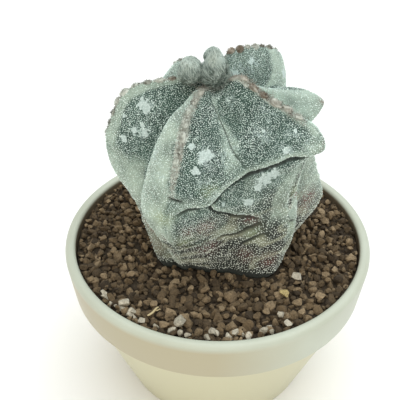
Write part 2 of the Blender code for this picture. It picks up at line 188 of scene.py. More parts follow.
def pot_plastic():
    """Polypropylene, moulded: satin, faintly cloudy cream. Painted warm shade darkens the collar's
    front left, the body is painted yellower as light shines through its thin wall, and the wall inside
    the lip is dark brown."""
    made, tree, shader = new_material("Polypropylene, cream, moulded", 0.38, IOR=1.49)
    place = add(tree, "TexCoord", output="Object")
    millimetres = add(tree, "VectorMath", {0: place, "Scale": 1000.0}, operation="SCALE")
    x, y, z = add(tree, "SeparateXYZ", {"Vector": millimetres}).node.outputs
    level = add(tree, "CombineXYZ", {"X": x, "Y": y})
    reach = add(tree, "VectorMath", {0: level}, "Value", operation="LENGTH")
    clouds = add(tree, "TexNoise", {"Vector": place, "Scale": 1000 / POT_CLOUDS, "Detail": 3.0})
    grain = add(tree, "TexNoise", {"Vector": place, "Scale": 1000 / POT_GRAIN, "Detail": 2.0})
    colour = paint_over(tree, "#b1b6a5", "#b8beae", 1.0, (clouds, 0.3, 0.7))
    # Painted warm shade with warm reflected light on the collar's front left, fading to the right and
    # to the back.
    colour = paint_over(tree, colour, "#aca58a", 1.0, (z, POT_HEIGHT - 1.2, POT_HEIGHT - 3.6),
                        (x, 32.0, 0.0), (y, 30.0, -30.0))
    # Painted light: the body under the collar is yellower, as light shines through its thin wall.
    colour = paint_over(tree, colour, "#c1be9f", 1.0, (z, COLLAR_LOW + 0.5, COLLAR_LOW - 1.5))
    # The inner wall under the lip is dark brown.
    colour = paint_over(tree, colour, "#6d6250", 1.0, (reach, MOUTH_RADIUS + 0.5, MOUTH_RADIUS),
                        (z, POT_HEIGHT - 0.5, POT_HEIGHT - 1.8),
                        (z, COLLAR_LOW + 0.5, COLLAR_LOW + 1.0))
    finish_shader(tree, shader, colour, grain, 0.10, 0.0001)
    return made


def drain_cutter(index):
    """An upright cylinder where a drain hole goes through the floor."""
    angle = 2 * math.pi * (index + 0.5) / SIDE_DRAINS
    work = bmesh.new()
    bmesh.ops.create_cone(work, cap_ends=True, segments=32, radius1=SIDE_DRAIN_RADIUS / 1000,
                          radius2=SIDE_DRAIN_RADIUS / 1000, depth=0.014)
    x, y = SIDE_DRAIN_CIRCLE * math.cos(angle), SIDE_DRAIN_CIRCLE * math.sin(angle)
    bmesh.ops.translate(work, verts=work.verts, vec=Vector((x, y, FLOOR_LOW)) / 1000)
    mesh = bpy.data.meshes.new("drain_cutter")
    work.to_mesh(mesh)
    work.free()
    return bpy.data.objects.new("drain_cutter", mesh)


pot = add_piece("pot_shell", *turned(pot_section(), POT_SIDES), pot_plastic(), "pot")
for index in range(SIDE_DRAINS):
    cutter = drain_cutter(index)
    bpy.context.scene.collection.objects.link(cutter)
    cut = pot.modifiers.new("drain", "BOOLEAN")
    cut.operation = "DIFFERENCE"
    cut.object = cutter
    bpy.context.view_layer.update()
    drilled = bpy.data.meshes.new_from_object(pot.evaluated_get(bpy.context.evaluated_depsgraph_get()))
    pot.modifiers.clear()
    pot.data = drilled
    bpy.data.objects.remove(cutter)
pot.data.set_sharp_from_angle(angle=math.radians(50))
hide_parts("pot")

# --- The stem ------------------------------------------------------------------------
# One grown body: six ribs round a sunken crown, sagging noses on the older ribs, and
# folds low on the front where it shrank in dry spells. A taproot holds it in the grit.

STEM_AXIS = np.array([-3.0, 3.0])
STATIONS = 10
# Each rib has eleven stations from crown (0) over nose (6) and tuck (7) to foot (10):
# their bearings from +X, the crest's distance from the axis and height over the rim, and
# how far the valley after the rib lies behind it. "bulge" swells the flank after the rib
# and the one before it. "felt" is the felt's reach beside the crest, and "felt_end" its
# last station. A cushion is (long, wide, tall), "wool" is how light it is, and "rusty"
# the station where its rust has faded.
RIBS = (
    # Left
    {"bearing": (182,) * 7 + (184, 192, 208, 223), "bulge": (0.1, 0.12),
     "crest": ((0, 63.5), (8, 66.8), (16, 66.5), (25, 64.7), (31.8, 59.3), (36, 49.5), (37.6, 41),
               (35.6, 31), (28.5, 20), (25.7, 9.5), (24.4, -2)),
     "groove": (0, 3, 7, 9, 9, 8, 6, 3, 2, 1, 0.5), "felt": 0.6, "felt_end": 6,
     "cushion": (3.2, 1.6, 0.9), "wool": 0.35, "rusty": 2.4},
    # Front left
    {"bearing": (247,) * 8 + (248, 249, 250), "bulge": (0.1, 0.3),
     "crest": ((0, 63.5), (7, 66.3), (13, 65.2), (18.5, 62.8), (22.5, 57.5), (27.5, 49.5),
               (32.5, 36), (33, 25.5), (29, 15.5), (23.8, 6), (18.6, -2)),
     "groove": (0, 3, 6, 8, 7, 5, 3, 2, 1.5, 1, 0.5), "felt": 1.8, "felt_end": 6.3,
     "cushion": (3.6, 2, 0.55), "wool": 0.8, "rusty": 2.6},
    # Front right
    {"bearing": (335,) * 7 + (333, 327, 320, 316), "bulge": (0.14, 0.1),
     "crest": ((0, 63.5), (6, 67.5), (11.5, 70), (21.2, 65.2), (31.4, 60.8), (39.2, 56.6),
               (41.8, 50.4), (36.5, 43.8), (33.5, 28), (33.3, 12), (31.9, -2)),
     "groove": (0, 3, 6, 7, 7, 7, 7, 3, 4, 3, 1), "felt": 1.9, "felt_end": 4.7,
     "cushion": (3.8, 2.5, 0.6), "wool": 0.6, "rusty": 5.2},
    # Right
    {"bearing": (5,) * 11, "bulge": (0.2, 0.07),
     "crest": ((0, 63.5), (7, 65), (14, 63.2), (23, 60.4), (31, 59), (37.2, 57.8), (39.2, 55.2),
               (32.6, 51), (38.5, 30), (41.5, 13), (30, -2)),
     "groove": (0, 4, 7, 9, 10, 10, 9, 5, 4, 3, 1), "felt": 0.1, "felt_end": 2,
     "cushion": (0, 0, 0), "wool": 0.5, "rusty": 2.4},
    # Rear right
    {"bearing": (48,) * 8 + (50, 52, 54), "bulge": (0.14, 0.14),
     "crest": ((0, 63.5), (7, 72.5), (12, 73.3), (21.5, 70.8), (30, 67), (36, 62.6), (37.2, 54),
               (36.5, 42), (36, 28), (32, 11), (27, -2)),
     "groove": (0, 4, 8, 11, 12, 11, 9, 6, 4, 2, 1), "felt": 0.3, "felt_end": 6,
     "cushion": (3.3, 1.6, 1.1), "wool": 0.3, "rusty": 3.6},
    # Rear left
    {"bearing": (122,) * 8 + (124, 128, 132), "bulge": (0.15, 0.15),
     "crest": ((0, 63.5), (7, 67), (14, 66.6), (22, 63), (29, 56), (33.5, 47), (34, 38), (32, 28),
               (31, 18), (27, 8), (23.5, -2)),
     "groove": (0, 3, 7, 9, 9, 8, 6, 4, 3, 2, 1), "felt": 0.6, "felt_end": 6,
     "cushion": (3, 1.6, 0.9), "wool": 0.35, "rusty": 2.4},
)
# The widths of the skin's mottling and of its dust, whose real specks are too fine to
# show and are drawn half a millimetre wide.
BROAD_CLOUDS = 25 / 3
FINE_CLOUDS = 10 / 9
DUST_SPECKS = 10 / 19
FLANK_STEPS = 31
STEM_ROWS = 252
# How far the rounding of valleys and crests reaches, in flanks, and over how many flanks
# and columns it is spread.
VALLEY_REACH = 0.30
CREST_REACH = 0.12
VALLEY_ROUNDING = 0.09
CREST_ROUNDING = 1.76
ROOT = ((2.5, 0.94), (7.5, 0.74), (13.0, 0.46), (17.5, 0.22))
ROOT_TIP = 20.0
WRINKLES_FROM = 7.0
WRINKLE_HEIGHT = 0.55
WRINKLE_PITCH = 3.0
# The skin's broad and small unevenness: height, width and seed.
UNEVENNESS = ((0.30, 9.0, 3), (0.14, 3.4, 4))

# A place on the skin is (flank, station): flank counts half ribs round the stem, with
# the left rib's crest at 1 and the valley after it at 2. Each fold has its line, the
# height of its lip, how far it steps in under the lip, how much deeper its groove cuts,
# and the way over which the skin comes back out.
FOLDS = (
    (((5.25, 6.7), (5, 6.38), (4.8, 6.05), (4.6, 5.76), (4.42, 5.84), (4.28, 5.9), (4.1, 6),
      (3.97, 6.13), (3.83, 6.22), (3.7, 6.32), (3.48, 6.6)), 0.8, 1.9, 2.4, 7),
    (((3.04, 6.52), (3.15, 6.42), (3.24, 6.38), (3.5, 6.68), (3.62, 7.05), (3.78, 7.38),
      (4.05, 7.78), (4.3, 7.9), (4.46, 8.08)), 0.7, 1.7, 2, 5),
    (((3.65, 8.32), (3.8, 8.26), (4.05, 8.38), (4.28, 8.25), (4.5, 8.2)), 0.9, 1.2, 0.8, 3),
    (((4.15, 8.78), (4.3, 8.66), (4.47, 8.56), (4.72, 8.53)), 0.6, 0.8, 0.8, 2),
    (((2.92, 5.86), (3.05, 5.93), (3.15, 6.03)), 0.4, 0.5, 1.2, 1.6),
    (((3.54, 6.78), (3.62, 6.66), (3.72, 6.54)), 0.3, 0.3, 1, 1.2),
    (((2.66, 7.05), (2.74, 7.4), (2.83, 7.8), (2.9, 8.18), (2.96, 8.68)), 0.4, 0.5, 0.9, 1.8),
    (((3.6, 1.9), (3.8, 2.75), (3.82, 3.4), (3.82, 4.05), (3.85, 5.05), (3.94, 5.45),
      (4.03, 5.78)), 0.1, 0.1, 1, 1.5),
    (((4.96, 8.4), (5.1, 8.46), (5.35, 8.56), (5.6, 8.66)), 0.4, 0.5, 0.8, 1.8),
    (((7.6, 7.1), (8, 6.9), (8.6, 7), (9.1, 7.2)), 0.8, 1.4, 1.4, 4),
    (((9.6, 8.1), (10.1, 8), (10.8, 8.2)), 0.7, 1, 1, 3),
)
FOLD_REACH = 16.0
WELT_REACH = 8.0
FOLD_POINTS = 90
PINCH_REACH = 3.0
PINCH_POWER = 0.6
GROOVE_WIDTH = 0.45
LIP_EDGE = 0.7
LIP_BACK = 5.0
# Painted light: where light grazes the flanks and lower faces they are painted pale, with fewer flecks:
# flanks from and to, stations from and to, and how much. Broad faces and valleys between them stay bare
# and dark.
GRAZING_LIGHT_AREAS = (
    (8, 9, 0.4, 4.2, 0.17), (4.05, 4.6, 6.2, 7.7, 0.22), (3.3, 3.9, 7.3, 8.8, 0.24),
    (0.3, 1.6, 7.4, 10.2, 0.72), (1.5, 2.75, 8.5, 10.2, 0.7), (2.7, 3.2, 8.4, 9.4, 0.3),
    (0.88, 1.27, 0.5, 6.5, 0.75), (1.02, 1.98, 5.7, 9, 0.9), (2.1, 2.97, 0.8, 8.6, 0.9),
    (3.68, 3.98, 1.6, 6, 0.55), (4.9, 5.06, 3.7, 5.8, 0.85), (4.86, 5.02, 2.6, 5.2, 0.75),
    (4.72, 5.1, 5.1, 6.5, 0.85), (5.02, 6, 0.8, 9.5, 0.9), (6.08, 7.35, 1, 9.2, 0.88),
    (8.02, 9.06, 3.75, 7, 0.95), (11.1, 11.92, 1, 5, 0.6), (4.6, 5, 6.9, 8.8, 0.8),
    (2.95, 3.4, 5.8, 6.9, 0.5), (10.02, 10.6, 4.5, 8, 0.7), (0.05, 0.6, 5, 8, 0.7),
)
# How softly a pale area ends at its sides, in flanks, and at its ends, in stations.
PALE_SIDE = 0.07
PALE_TOP = 0.4
PALE_FOOT = 0.8
# Narrow welts where the skin is pinched up between folds: line, height, half width.
WELTS = (
    (((4.78, 6.7), (4.8, 7.2), (4.79, 7.6), (4.87, 8), (4.96, 8.35), (5.06, 8.8)), 1.4, 1.6),
    (((3.02, 6.2), (2.99, 6.9), (2.95, 7.6), (2.9, 8.3), (2.9, 9.4)), 1, 1.3),
    (((4.2, 8.5), (4.35, 8.42), (4.52, 8.36)), 0.4, 1),
    (((3.72, 4.6), (3.78, 5.1), (3.9, 5.6)), 0.3, 1.6),
)
# Chalky patches where the flecks run together: flank, station, radius.
CHALK = (
    (1.42, 3.58, 2.2), (1.52, 3.78, 1.5), (1.52, 4.82, 1.3), (1.7, 4.75, 1.5), (1.6, 4.5, 1),
    (1.4, 5.25, 1.5), (1.25, 4.47, 0.8), (3.38, 4.93, 2.3), (3.47, 4.88, 1.8), (3.18, 4.47, 1.2),
    (3.28, 5.32, 1.7), (4.44, 6.5, 2.4), (4.38, 6.72, 2.6), (4.31, 6.98, 1.8), (4.2, 7.43, 1.8),
    (4.12, 7.74, 1.3), (3.78, 6.98, 1.2), (4.42, 4.3, 0.8), (4.78, 4.62, 0.8), (4.52, 5.36, 1.3),
    (8.3, 1.8, 1.2), (8.62, 2.7, 1.4), (9.4, 3.2, 1.8), (10.5, 4.1, 2), (11.4, 4.6, 1.7),
    (0.6, 4, 1.8), (8.45, 5.2, 1.8),
)
# Soft pale smudges of the same dust: flank, station, radius.
SMUDGES = (
    (3.74, 5.22, 3.4), (3.9, 4.9, 2.6), (2.54, 4.98, 3), (4.28, 2.45, 2.4), (4.1, 1.9, 2),
    (4.68, 3.55, 3), (4.36, 4.5, 3.2), (4.5, 5.4, 3.4), (4.72, 4.7, 2.6), (4.82, 5.4, 2.6),
    (1.55, 3.7, 3.4), (1.65, 4.7, 3.4), (3.4, 4.95, 3.4), (4.4, 6.6, 4.2), (4.2, 7.4, 3),
    (8.35, 1.9, 4), (8.62, 2.8, 3.6), (8.9, 1.8, 3), (3.45, 5.6, 3), (2.8, 5.4, 3),
    (3.6, 6.2, 2.2), (10.4, 4, 5), (0.5, 4.4, 4),
)
# The stations where the skin turns corky, and over how many, and from where its foot is painted dark as
# shadow where it meets the grit.
OLD_FROM = 6.9
OLD_BLEND = 1.6
FOOT_SHADOW_FROM = 9.65
# Stains on the old skin, and spots of painted shade in its hollows: flank, station, radius.
RUSTY = (
    (3.5, 7.58, 3.4), (3.52, 8.55, 3.8), (4.32, 8.05, 2.4), (5.35, 7.95, 2), (4.85, 9.45, 3.4),
    (1.15, 9.3, 4), (1.4, 8.6, 4.5), (2.75, 7.9, 2.2), (3.2, 7.4, 2.4), (4.3, 9.2, 3),
    (7, 5.6, 2.2), (5, 5.95, 1.3), (5.02, 5.6, 1), (6.4, 8.6, 5), (8.8, 8.4, 5), (11, 8.8, 5),
)
MOSSY = (
    (4.93, 6.2, 2.2), (4.4, 8.43, 3.4), (5.05, 7.68, 2.6), (3.52, 5.95, 3), (3.12, 7.85, 3.4),
    (2.9, 6.6, 3.4), (5.25, 8.7, 2.6), (7.4, 7.6, 4), (9.9, 7.6, 4),
)
HOLLOW_SHADE_SPOTS = (
    (3.75, 9.07, 5), (4.1, 9.3, 4.5), (3.52, 8.62, 3.6), (4.75, 8.55, 2.4), (4.05, 8.8, 3),
    (2.8, 7.5, 1.8), (2.88, 8.1, 1.8), (3.55, 7.15, 2.6), (4.45, 9, 2.6), (10.8, 9, 6),
)


def spread(values, count):
    """Values at even stations read at `count` even places along a smooth curve."""
    values = np.asarray(values, float)
    if values.ndim == 1:
        return spread(values[:, None], count)[:, 0]
    slope = np.gradient(values, axis=0)
    place = np.linspace(0, len(values) - 1, count)
    low = np.minimum(place.astype(int), len(values) - 2)
    t = (place - low)[:, None]
    return ((2 * t**3 - 3 * t**2 + 1) * values[low] + (t**3 - 2 * t**2 + t) * slope[low]
            + (3 * t**2 - 2 * t**3) * values[low + 1] + (t**3 - t**2) * slope[low + 1])


def unit(vectors):
    """The vectors at length one."""
    return vectors / np.maximum(np.linalg.norm(vectors, axis=-1, keepdims=True), 1e-9)


def crest_line(rib, count):
    """The rib's edge from crown to foot."""
    section = spread(rib["crest"], count)
    bearing = np.radians(spread(rib["bearing"], count))
    outward = np.stack([np.cos(bearing), np.sin(bearing)], 1)
    return np.hstack([STEM_AXIS + section[:, :1] * outward, section[:, 1:] + POT_HEIGHT])


def valley_line(rib, following, count):
    """The groove between a rib and the following one: under the crests on the crown,
    behind them down the side."""
    line = (crest_line(rib, count) + crest_line(following, count)) / 2
    outward = line[:, :2] - STEM_AXIS
    reach = np.linalg.norm(outward, axis=1)
    groove = spread(rib["groove"], count)
    down = np.radians(np.interp(np.linspace(0, STATIONS, count), (0, 2, 5, STATIONS), (90, 70, 20, 0)))
    line[:, :2] -= unit(outward) * np.minimum(groove * np.cos(down), 0.6 * reach)[:, None]
    line[:, 2] -= groove * np.sin(down)
    return line


def blur_round(grid, sigma):
    """The grid smoothed round the stem by a bell of that many columns."""
    reach = int(math.ceil(3 * sigma))
    offsets = np.arange(-reach, reach + 1)
    weights = np.exp(-0.5 * (offsets / sigma) ** 2)
    weights /= weights.sum()
    return sum(w * np.roll(grid, -o, axis=1) for w, o in zip(weights, offsets))


def stem_grid(rows, steps):
    """The stem's skin as rings from crown to foot. Column 0 is the valley before the
    left rib. Crests are rounded a little, valleys more."""
    crests = [crest_line(rib, rows) for rib in RIBS]
    valleys = [valley_line(rib, RIBS[(i + 1) % len(RIBS)], rows) for i, rib in enumerate(RIBS)]
    columns = []
    for i, rib in enumerate(RIBS):
        for side in (-1, 1):
            valley = valleys[i] if side > 0 else valleys[i - 1]
            across = valley - crests[i]
            swell = side * np.stack([across[:, 1], -across[:, 0], 0 * across[:, 0]], 1)
            swell *= rib["bulge"][0 if side > 0 else 1]
            for step in range(steps):
                part = step / steps if side > 0 else 1 - step / steps
                columns.append(crests[i] + across * part + swell * (4 * part * (1 - part)))
    grid = np.stack(columns, 1)
    from_valley = np.abs((np.arange(grid.shape[1]) / steps + 1) % 2 - 1)
    valley_share = np.exp(-(from_valley / VALLEY_REACH) ** 2)[None, :, None]
    crest_share = np.exp(-((1 - from_valley) / CREST_REACH) ** 2)[None, :, None]
    soft, crisp = blur_round(grid, steps * VALLEY_ROUNDING), blur_round(grid, CREST_ROUNDING)
    return grid + (soft - grid) * valley_share + (crisp - grid) * crest_share


def at_place(grid, flank, station):
    """The point of the skin at a (flank, station) place."""
    rows, columns = grid.shape[:2]
    column = flank / (2 * len(RIBS)) * columns
    row = min(station / STATIONS * (rows - 1), rows - 1.001)
    r0, c0 = int(row), int(column)
    tr, tc = row - r0, column - c0
    c0, c1 = c0 % columns, (c0 + 1) % columns
    return ((grid[r0, c0] * (1 - tc) + grid[r0, c1] * tc) * (1 - tr)
            + (grid[r0 + 1, c0] * (1 - tc) + grid[r0 + 1, c1] * tc) * tr)


def ruffle(points, pitch, seed):
    """Smooth noise from -1 to 1 with bumps about `pitch` millimetres across."""
    place = np.asarray(points, float) / pitch + seed * 17.31
    cell = np.floor(place).astype(np.int64)
    part = place - cell
    part = part * part * (3 - 2 * part)
    total = np.zeros(place.shape[:-1])
    for corner in range(8):
        step = np.array([corner & 1, corner >> 1 & 1, corner >> 2 & 1])
        key = ((cell + step) * np.array([73856093, 19349663, 83492791])).sum(-1)
        key = (key ^ (key >> 13)) * 1274126177 & 0xFFFFFFFF
        value = ((key >> 8) & 0xFFFF) / 32767.5 - 1
        total += value * np.prod(np.where(step, part, 1 - part), axis=-1)
    return total


def outward_of(grid):
    """Level directions away from the stem's axis."""
    return unit((grid - np.array([*STEM_AXIS, 0.0])) * np.array([1, 1, 0]))


def fold_offset(points, line):
    """For each point the unit way from the fold's line to it, its distance, signed (over
    the line is positive), and how strong the fold is at the nearest place."""
    along = np.linspace(0, 1, FOLD_POINTS)
    dense = spread(line, FOLD_POINTS)
    strength = np.sqrt(np.clip(np.sin(np.pi * (0.03 + 0.94 * along)), 0, 1))
    across = np.cross(unit(np.gradient(dense, axis=0)), outward_of(dense))
    across *= 1 if across[:, 2].sum() > 0 else -1
    nearest = np.linalg.norm(points[:, None] - dense, axis=2).argmin(1)
    away = points - dense[nearest]
    over = (away * across[nearest]).sum(1) > 0
    return unit(away), np.linalg.norm(away, axis=1) * np.where(over, 1, -1), strength[nearest]


def press_fold(grid, fold, shade, lit):
    """Cuts the fold: a rounded lip stands over a groove, the skin under it starts further in, and all
    of it is drawn towards the line. Notes painted shade in and under the fold and painted light on its
    lip."""
    places, lip_height, recess, depth, recovery = fold
    line = np.array([at_place(grid, *place) for place in places])
    near = np.all((grid > line.min(0) - FOLD_REACH) & (grid < line.max(0) + FOLD_REACH), axis=2)
    points = grid[near]
    way, signed, strength = fold_offset(points, line)
    distance = np.abs(signed)
    drawn = distance * np.minimum(1, distance / PINCH_REACH) ** PINCH_POWER
    over = np.where(signed > 0, drawn, 0)
    under = np.where(signed > 0, 0, drawn)
    groove = depth * np.exp(-drawn / GROOVE_WIDTH)
    lip = lip_height * (1 - np.exp(-over / LIP_EDGE)) * np.exp(-(over / LIP_BACK) ** 2)
    push = np.where(signed > 0, lip, -recess * np.exp(-under / recovery)) - groove
    points += way * ((drawn - distance) * strength)[:, None]
    points += outward_of(points) * (push * strength)[:, None]
    grid[near] = points
    hidden = 0.5 * (lip_height + recess) * strength
    dark = np.where(signed > 0, np.exp(-(over / 0.25) ** 2),
                    np.exp(-(np.maximum(under - hidden, 0) / 0.35) ** 2)) * strength
    shade[near] = np.maximum(shade[near], dark)
    edge = np.where(signed > 0, np.exp(-((over - 1.2) / 1.3) ** 2), 0) * strength
    lit[near] = np.maximum(lit[near], edge * min(1.0, recess / 2))


def raise_welt(grid, places, height, half_width, lit):
    """Pinches the skin up along a line and notes painted light on it."""
    line = np.array([at_place(grid, *place) for place in places])
    near = np.all((grid > line.min(0) - WELT_REACH) & (grid < line.max(0) + WELT_REACH), axis=2)
    points = grid[near]
    _, signed, strength = fold_offset(points, line)
    share = np.exp(-(signed / half_width) ** 2) * strength
    grid[near] = points + outward_of(points) * (height * share)[:, None]
    lit[near] = np.maximum(lit[near], 1.1 * share)


def spots(grid, places, soft):
    """How far each point is into any of the round spots: 1 in the middle, 0 at the rim,
    or a soft bell."""
    share = np.zeros(grid.shape[:2])
    for flank, station, radius in places:
        far = np.linalg.norm(grid - at_place(grid, flank, station), axis=2) / radius
        share = np.maximum(share, np.exp(-far ** 2) if soft else 1 - far / 1.6)
    return share


def stem_marks(grid, crease_shades, lit_lips, ridges):
    """The skin's paint numbers at each point: felt on the edge, paleness painted as light where it
    grazes the flanks and lips, chalk, old corky skin, a blush over it, the painted shade in the folds,
    and the wrinkles' ridges less the painted shade in hollows and at the foot."""
    rows, columns = grid.shape[:2]
    station = np.linspace(0, STATIONS, rows)[:, None] * np.ones((1, columns))
    flank = np.arange(columns)[None, :] / columns * 2 * len(RIBS) * np.ones((rows, 1))
    nearest = np.round((flank - 1) / 2).astype(int)
    crest = grid[np.arange(rows)[:, None], (nearest * 2 + 1) * columns // (2 * len(RIBS)) % columns]
    from_crest = np.linalg.norm(grid - crest, axis=2)
    rib_felt, felt_end = (np.array([rib[key] for rib in RIBS])[nearest % len(RIBS)]
                          for key in ("felt", "felt_end"))
    felt = np.exp(-(from_crest / (rib_felt * (1 + 0.35 * ruffle(grid, 3.0, 1)))) ** 2)
    felt *= np.clip((felt_end - station) / 1.2, 0, 1)
    # Painted light: the lips of the folds and welts and the areas where light grazes the flanks are
    # painted pale.
    pale = 0.85 * lit_lips
    ragged = 0.05 * ruffle(grid, 3.5, 7)
    for flank_from, flank_to, station_from, station_to, share in GRAZING_LIGHT_AREAS:
        depths = ((flank + ragged - flank_from) / PALE_SIDE, (flank_to - flank + ragged) / PALE_SIDE,
                  (station + 5 * ragged - station_from) / PALE_TOP,
                  (station_to - station + 5 * ragged) / PALE_FOOT)
        pale = np.maximum(pale, share * np.prod(np.clip(depths, 0, 1), axis=0))
    smudge = spots(grid, SMUDGES, True) * np.clip(0.6 + 0.9 * ruffle(grid, 1.7, 9), 0, 1)
    age = (station - OLD_FROM + 0.8 * ruffle(grid, 9.0, 2)) / OLD_BLEND
    # Where the skin is painted pale as lit, less of it turns corky.
    old = np.clip(age, 0, 1) * (1 - 0.85 * pale)
    rough = np.clip(0.75 + 0.5 * ruffle(grid, 2.6, 5), 0, 1)
    # Painted shade: dark spots in the hollows and a dark band at the foot where it meets the grit,
    # taken off the ridges.
    painted_shade = np.maximum(spots(grid, HOLLOW_SHADE_SPOTS, True), np.clip((station - FOOT_SHADOW_FROM) / 0.25, 0, 1))
    pale = pale * np.clip(0.86 + 0.2 * ruffle(grid, 5.0, 12), 0, 1)
    return {"felt": felt, "pale": pale, "chalk": spots(grid, CHALK, False), "old": old,
            "blush": spots(grid, RUSTY, True) * rough, "moss": spots(grid, MOSSY, True) * rough,
            "smudge": smudge, "crease_shade": crease_shades, "ridge_and_shade": ridges - 1.1 * painted_shade}


def closed_skin(rings, start, end):
    """Points and faces of a skin over rings of equal count, drawn to a point at each end."""
    rings = np.asarray(rings, float)
    count, sides = rings.shape[:2]
    points = np.vstack([rings.reshape(-1, 3), [start], [end]])
    row, side = np.meshgrid(np.arange(count - 1), np.arange(sides), indexing="ij")
    following = (side + 1) % sides
    faces = np.stack([row * sides + side, (row + 1) * sides + side,
                      (row + 1) * sides + following, row * sides + following], 2)
    faces = faces.reshape(-1, 4).tolist()
    last, first, final = (count - 1) * sides, count * sides, count * sides + 1
    for side in range(sides):
        following = (side + 1) % sides
        faces.append((first, side, following))
        faces.append((final, last + following, last + side))
    return points, faces


def root_ring(foot, depth, scale):
    """A ring of the taproot: the stem's foot drawn in, that far under it."""
    ring = STEM_AXIS + (foot[:, :2] - STEM_AXIS) * scale
    return np.hstack([ring, foot[:, 2:] - depth])


def stem_skin():
    """Living skin, blue-green and matt, under fine white dust. The edges carry brown felt, chalky
    patches lie on the faces, and old skin low down is corky. Painted light pales the skin where light
    grazes it, and painted shade darkens its folds, hollows, wrinkles and foot."""
    made, tree, shader = new_material("Cactus skin, dusted", 0.78, Sheen_Weight=0.25,
                                      Sheen_Roughness=0.6, Sheen_Tint=linear("#dfe8df"))
    place = add(tree, "TexCoord", output="Object")
    broad, fine = (add(tree, "TexNoise", {"Vector": place, "Scale": 1000 / across, "Detail": 3.0})
                   for across in (BROAD_CLOUDS, FINE_CLOUDS))
    specks = add(tree, "TexVoronoi", {"Vector": place, "Scale": 1000 / DUST_SPECKS})
    mark = {name: add(tree, "Attribute", output="Fac", attribute_name=name)
            for name in ("felt", "pale", "chalk", "old", "blush", "moss", "smudge", "crease_shade", "ridge_and_shade")}
    mark["dust"] = add(tree, "MapRange", {"Value": specks, "From Min": 0.42, "From Max": 0.22})
    frayed = {name: add(tree, "Math", {0: fine, 1: fray, 2: mark[name]}, operation="MULTIPLY_ADD")
              for name, fray in (("ridge_and_shade", 0.25), ("dust", 1.0), ("chalk", 1.2), ("felt", 0.5))}
    skin = paint_over(tree, "#16302a", "#2b473d", 1.0, (broad, 0.35, 0.65))
    skin = paint_over(tree, skin, "#a9bdb4", mark["dust"], (fine, 0.3, 0.6, 0.44))
    # Painted light: paler where light grazes the flanks and the lips of folds and welts.
    skin = paint_over(tree, skin, "#b3c4b4", mark["pale"], (broad, 0.0, 0.55, 0.95))
    # Old corky skin: painted shade makes it near black in the wrinkles' grooves, in hollows and at the
    # foot, and painted light makes the ridges paler.
    corky = paint_over(tree, "#10120c", "#888b76", 1.0, (frayed["ridge_and_shade"], 0.36, 0.90))
    skin = paint_over(tree, skin, corky, 1.0, (mark["old"], 0.0, 0.8, 0.92))
    skin = paint_over(tree, skin, "#84926a", mark["moss"], (broad, 0.0, 0.6, 0.7))
    skin = paint_over(tree, skin, "#775049", mark["blush"], (fine, 0.25, 0.6, 0.8))
    skin = paint_over(tree, skin, "#a9bbb9", mark["smudge"], (fine, 0.42, 0.58, 0.85))
    chalky = paint_over(tree, "#a8bab5", "#d0dfdb", 1.0, (frayed["dust"], 0.35, 1.3))
    skin = paint_over(tree, skin, chalky, 1.0, (frayed["chalk"], 0.96, 1.12, 0.95))
    felt = paint_over(tree, "#7c7a70", "#bcc3b9", 1.0, (fine, 0.35, 0.62))
    skin = paint_over(tree, skin, felt, 1.0, (frayed["felt"], 0.60, 0.85))
    # Painted shade: near black in and under the folds.
    skin = paint_over(tree, skin, "#0e1711", 1.0, (mark["crease_shade"], 0.3, 1.0, 0.85))
    cork = add(tree, "Math", {0: fine, 1: mark["old"]}, operation="MULTIPLY")
    relief = add(tree, "Math", {0: mark["dust"], 1: 0.5, 2: cork}, operation="MULTIPLY_ADD")
    finish_shader(tree, shader, skin, relief, 0.5, 0.0004)
    return made


stem_rings = stem_grid(STEM_ROWS, FLANK_STEPS)
station_of_row = np.linspace(0, STATIONS, STEM_ROWS)
fold_shade, lit_fold_lips = np.zeros((2, *stem_rings.shape[:2]))
for fold in FOLDS:
    press_fold(stem_rings, fold, fold_shade, lit_fold_lips)
for welt in WELTS:
    raise_welt(stem_rings, *welt, lit_fold_lips)
low_share = np.clip((station_of_row - WRINKLES_FROM) / 1.2, 0, 1)[:, None]
slanted = stem_rings * np.array([0.35, 0.35, 1.0]) - stem_rings[:, :, :1] * np.array([0, 0, 0.4])
wrinkle = (1 - np.abs(ruffle(slanted, WRINKLE_PITCH, 6)) * 2) * low_share
uneven = sum(height * ruffle(stem_rings, width, seed) for height, width, seed in UNEVENNESS)
uneven = uneven * (1 - 0.4 * low_share) + WRINKLE_HEIGHT * wrinkle
uneven *= np.interp(station_of_row, (0, 1, 9.6, 10), (0, 1, 1, 0))[:, None]
stem_rings += outward_of(stem_rings) * uneven[:, :, None]
stem_foot = stem_rings[-1]
root_rings = [root_ring(stem_foot, depth, scale) for depth, scale in ROOT]
stem_paint = stem_marks(stem_rings, fold_shade, lit_fold_lips, wrinkle)
root_count = len(ROOT) * stem_rings.shape[1] + 2
marks = {name: np.concatenate([values[1:].ravel(), np.zeros(root_count)])
         for name, values in stem_paint.items()}
stem_body = closed_skin([*stem_rings[1:], *root_rings], stem_rings[0].mean(0),
                        (*STEM_AXIS, stem_foot[0, 2] - ROOT_TIP))
stem = add_piece("stem_skin", *stem_body, stem_skin(), "stem", numbers=marks)
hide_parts("cactus_stem")

# --- The wool flecks -----------------------------------------------------------------
# Every dot on the skin is a tuft of short white wool that stands a little proud. Seen
# from the front the skin shows between them, and seen along the skin they close up.

FLECK_SPACING = 0.49
FLECK_WIDTH = 0.46
FLECK_HEIGHT = 0.26
FLECK_DEPTH = 0.08
FLECK_LIMIT = 32000
FLECK_CANDIDATES = 210000


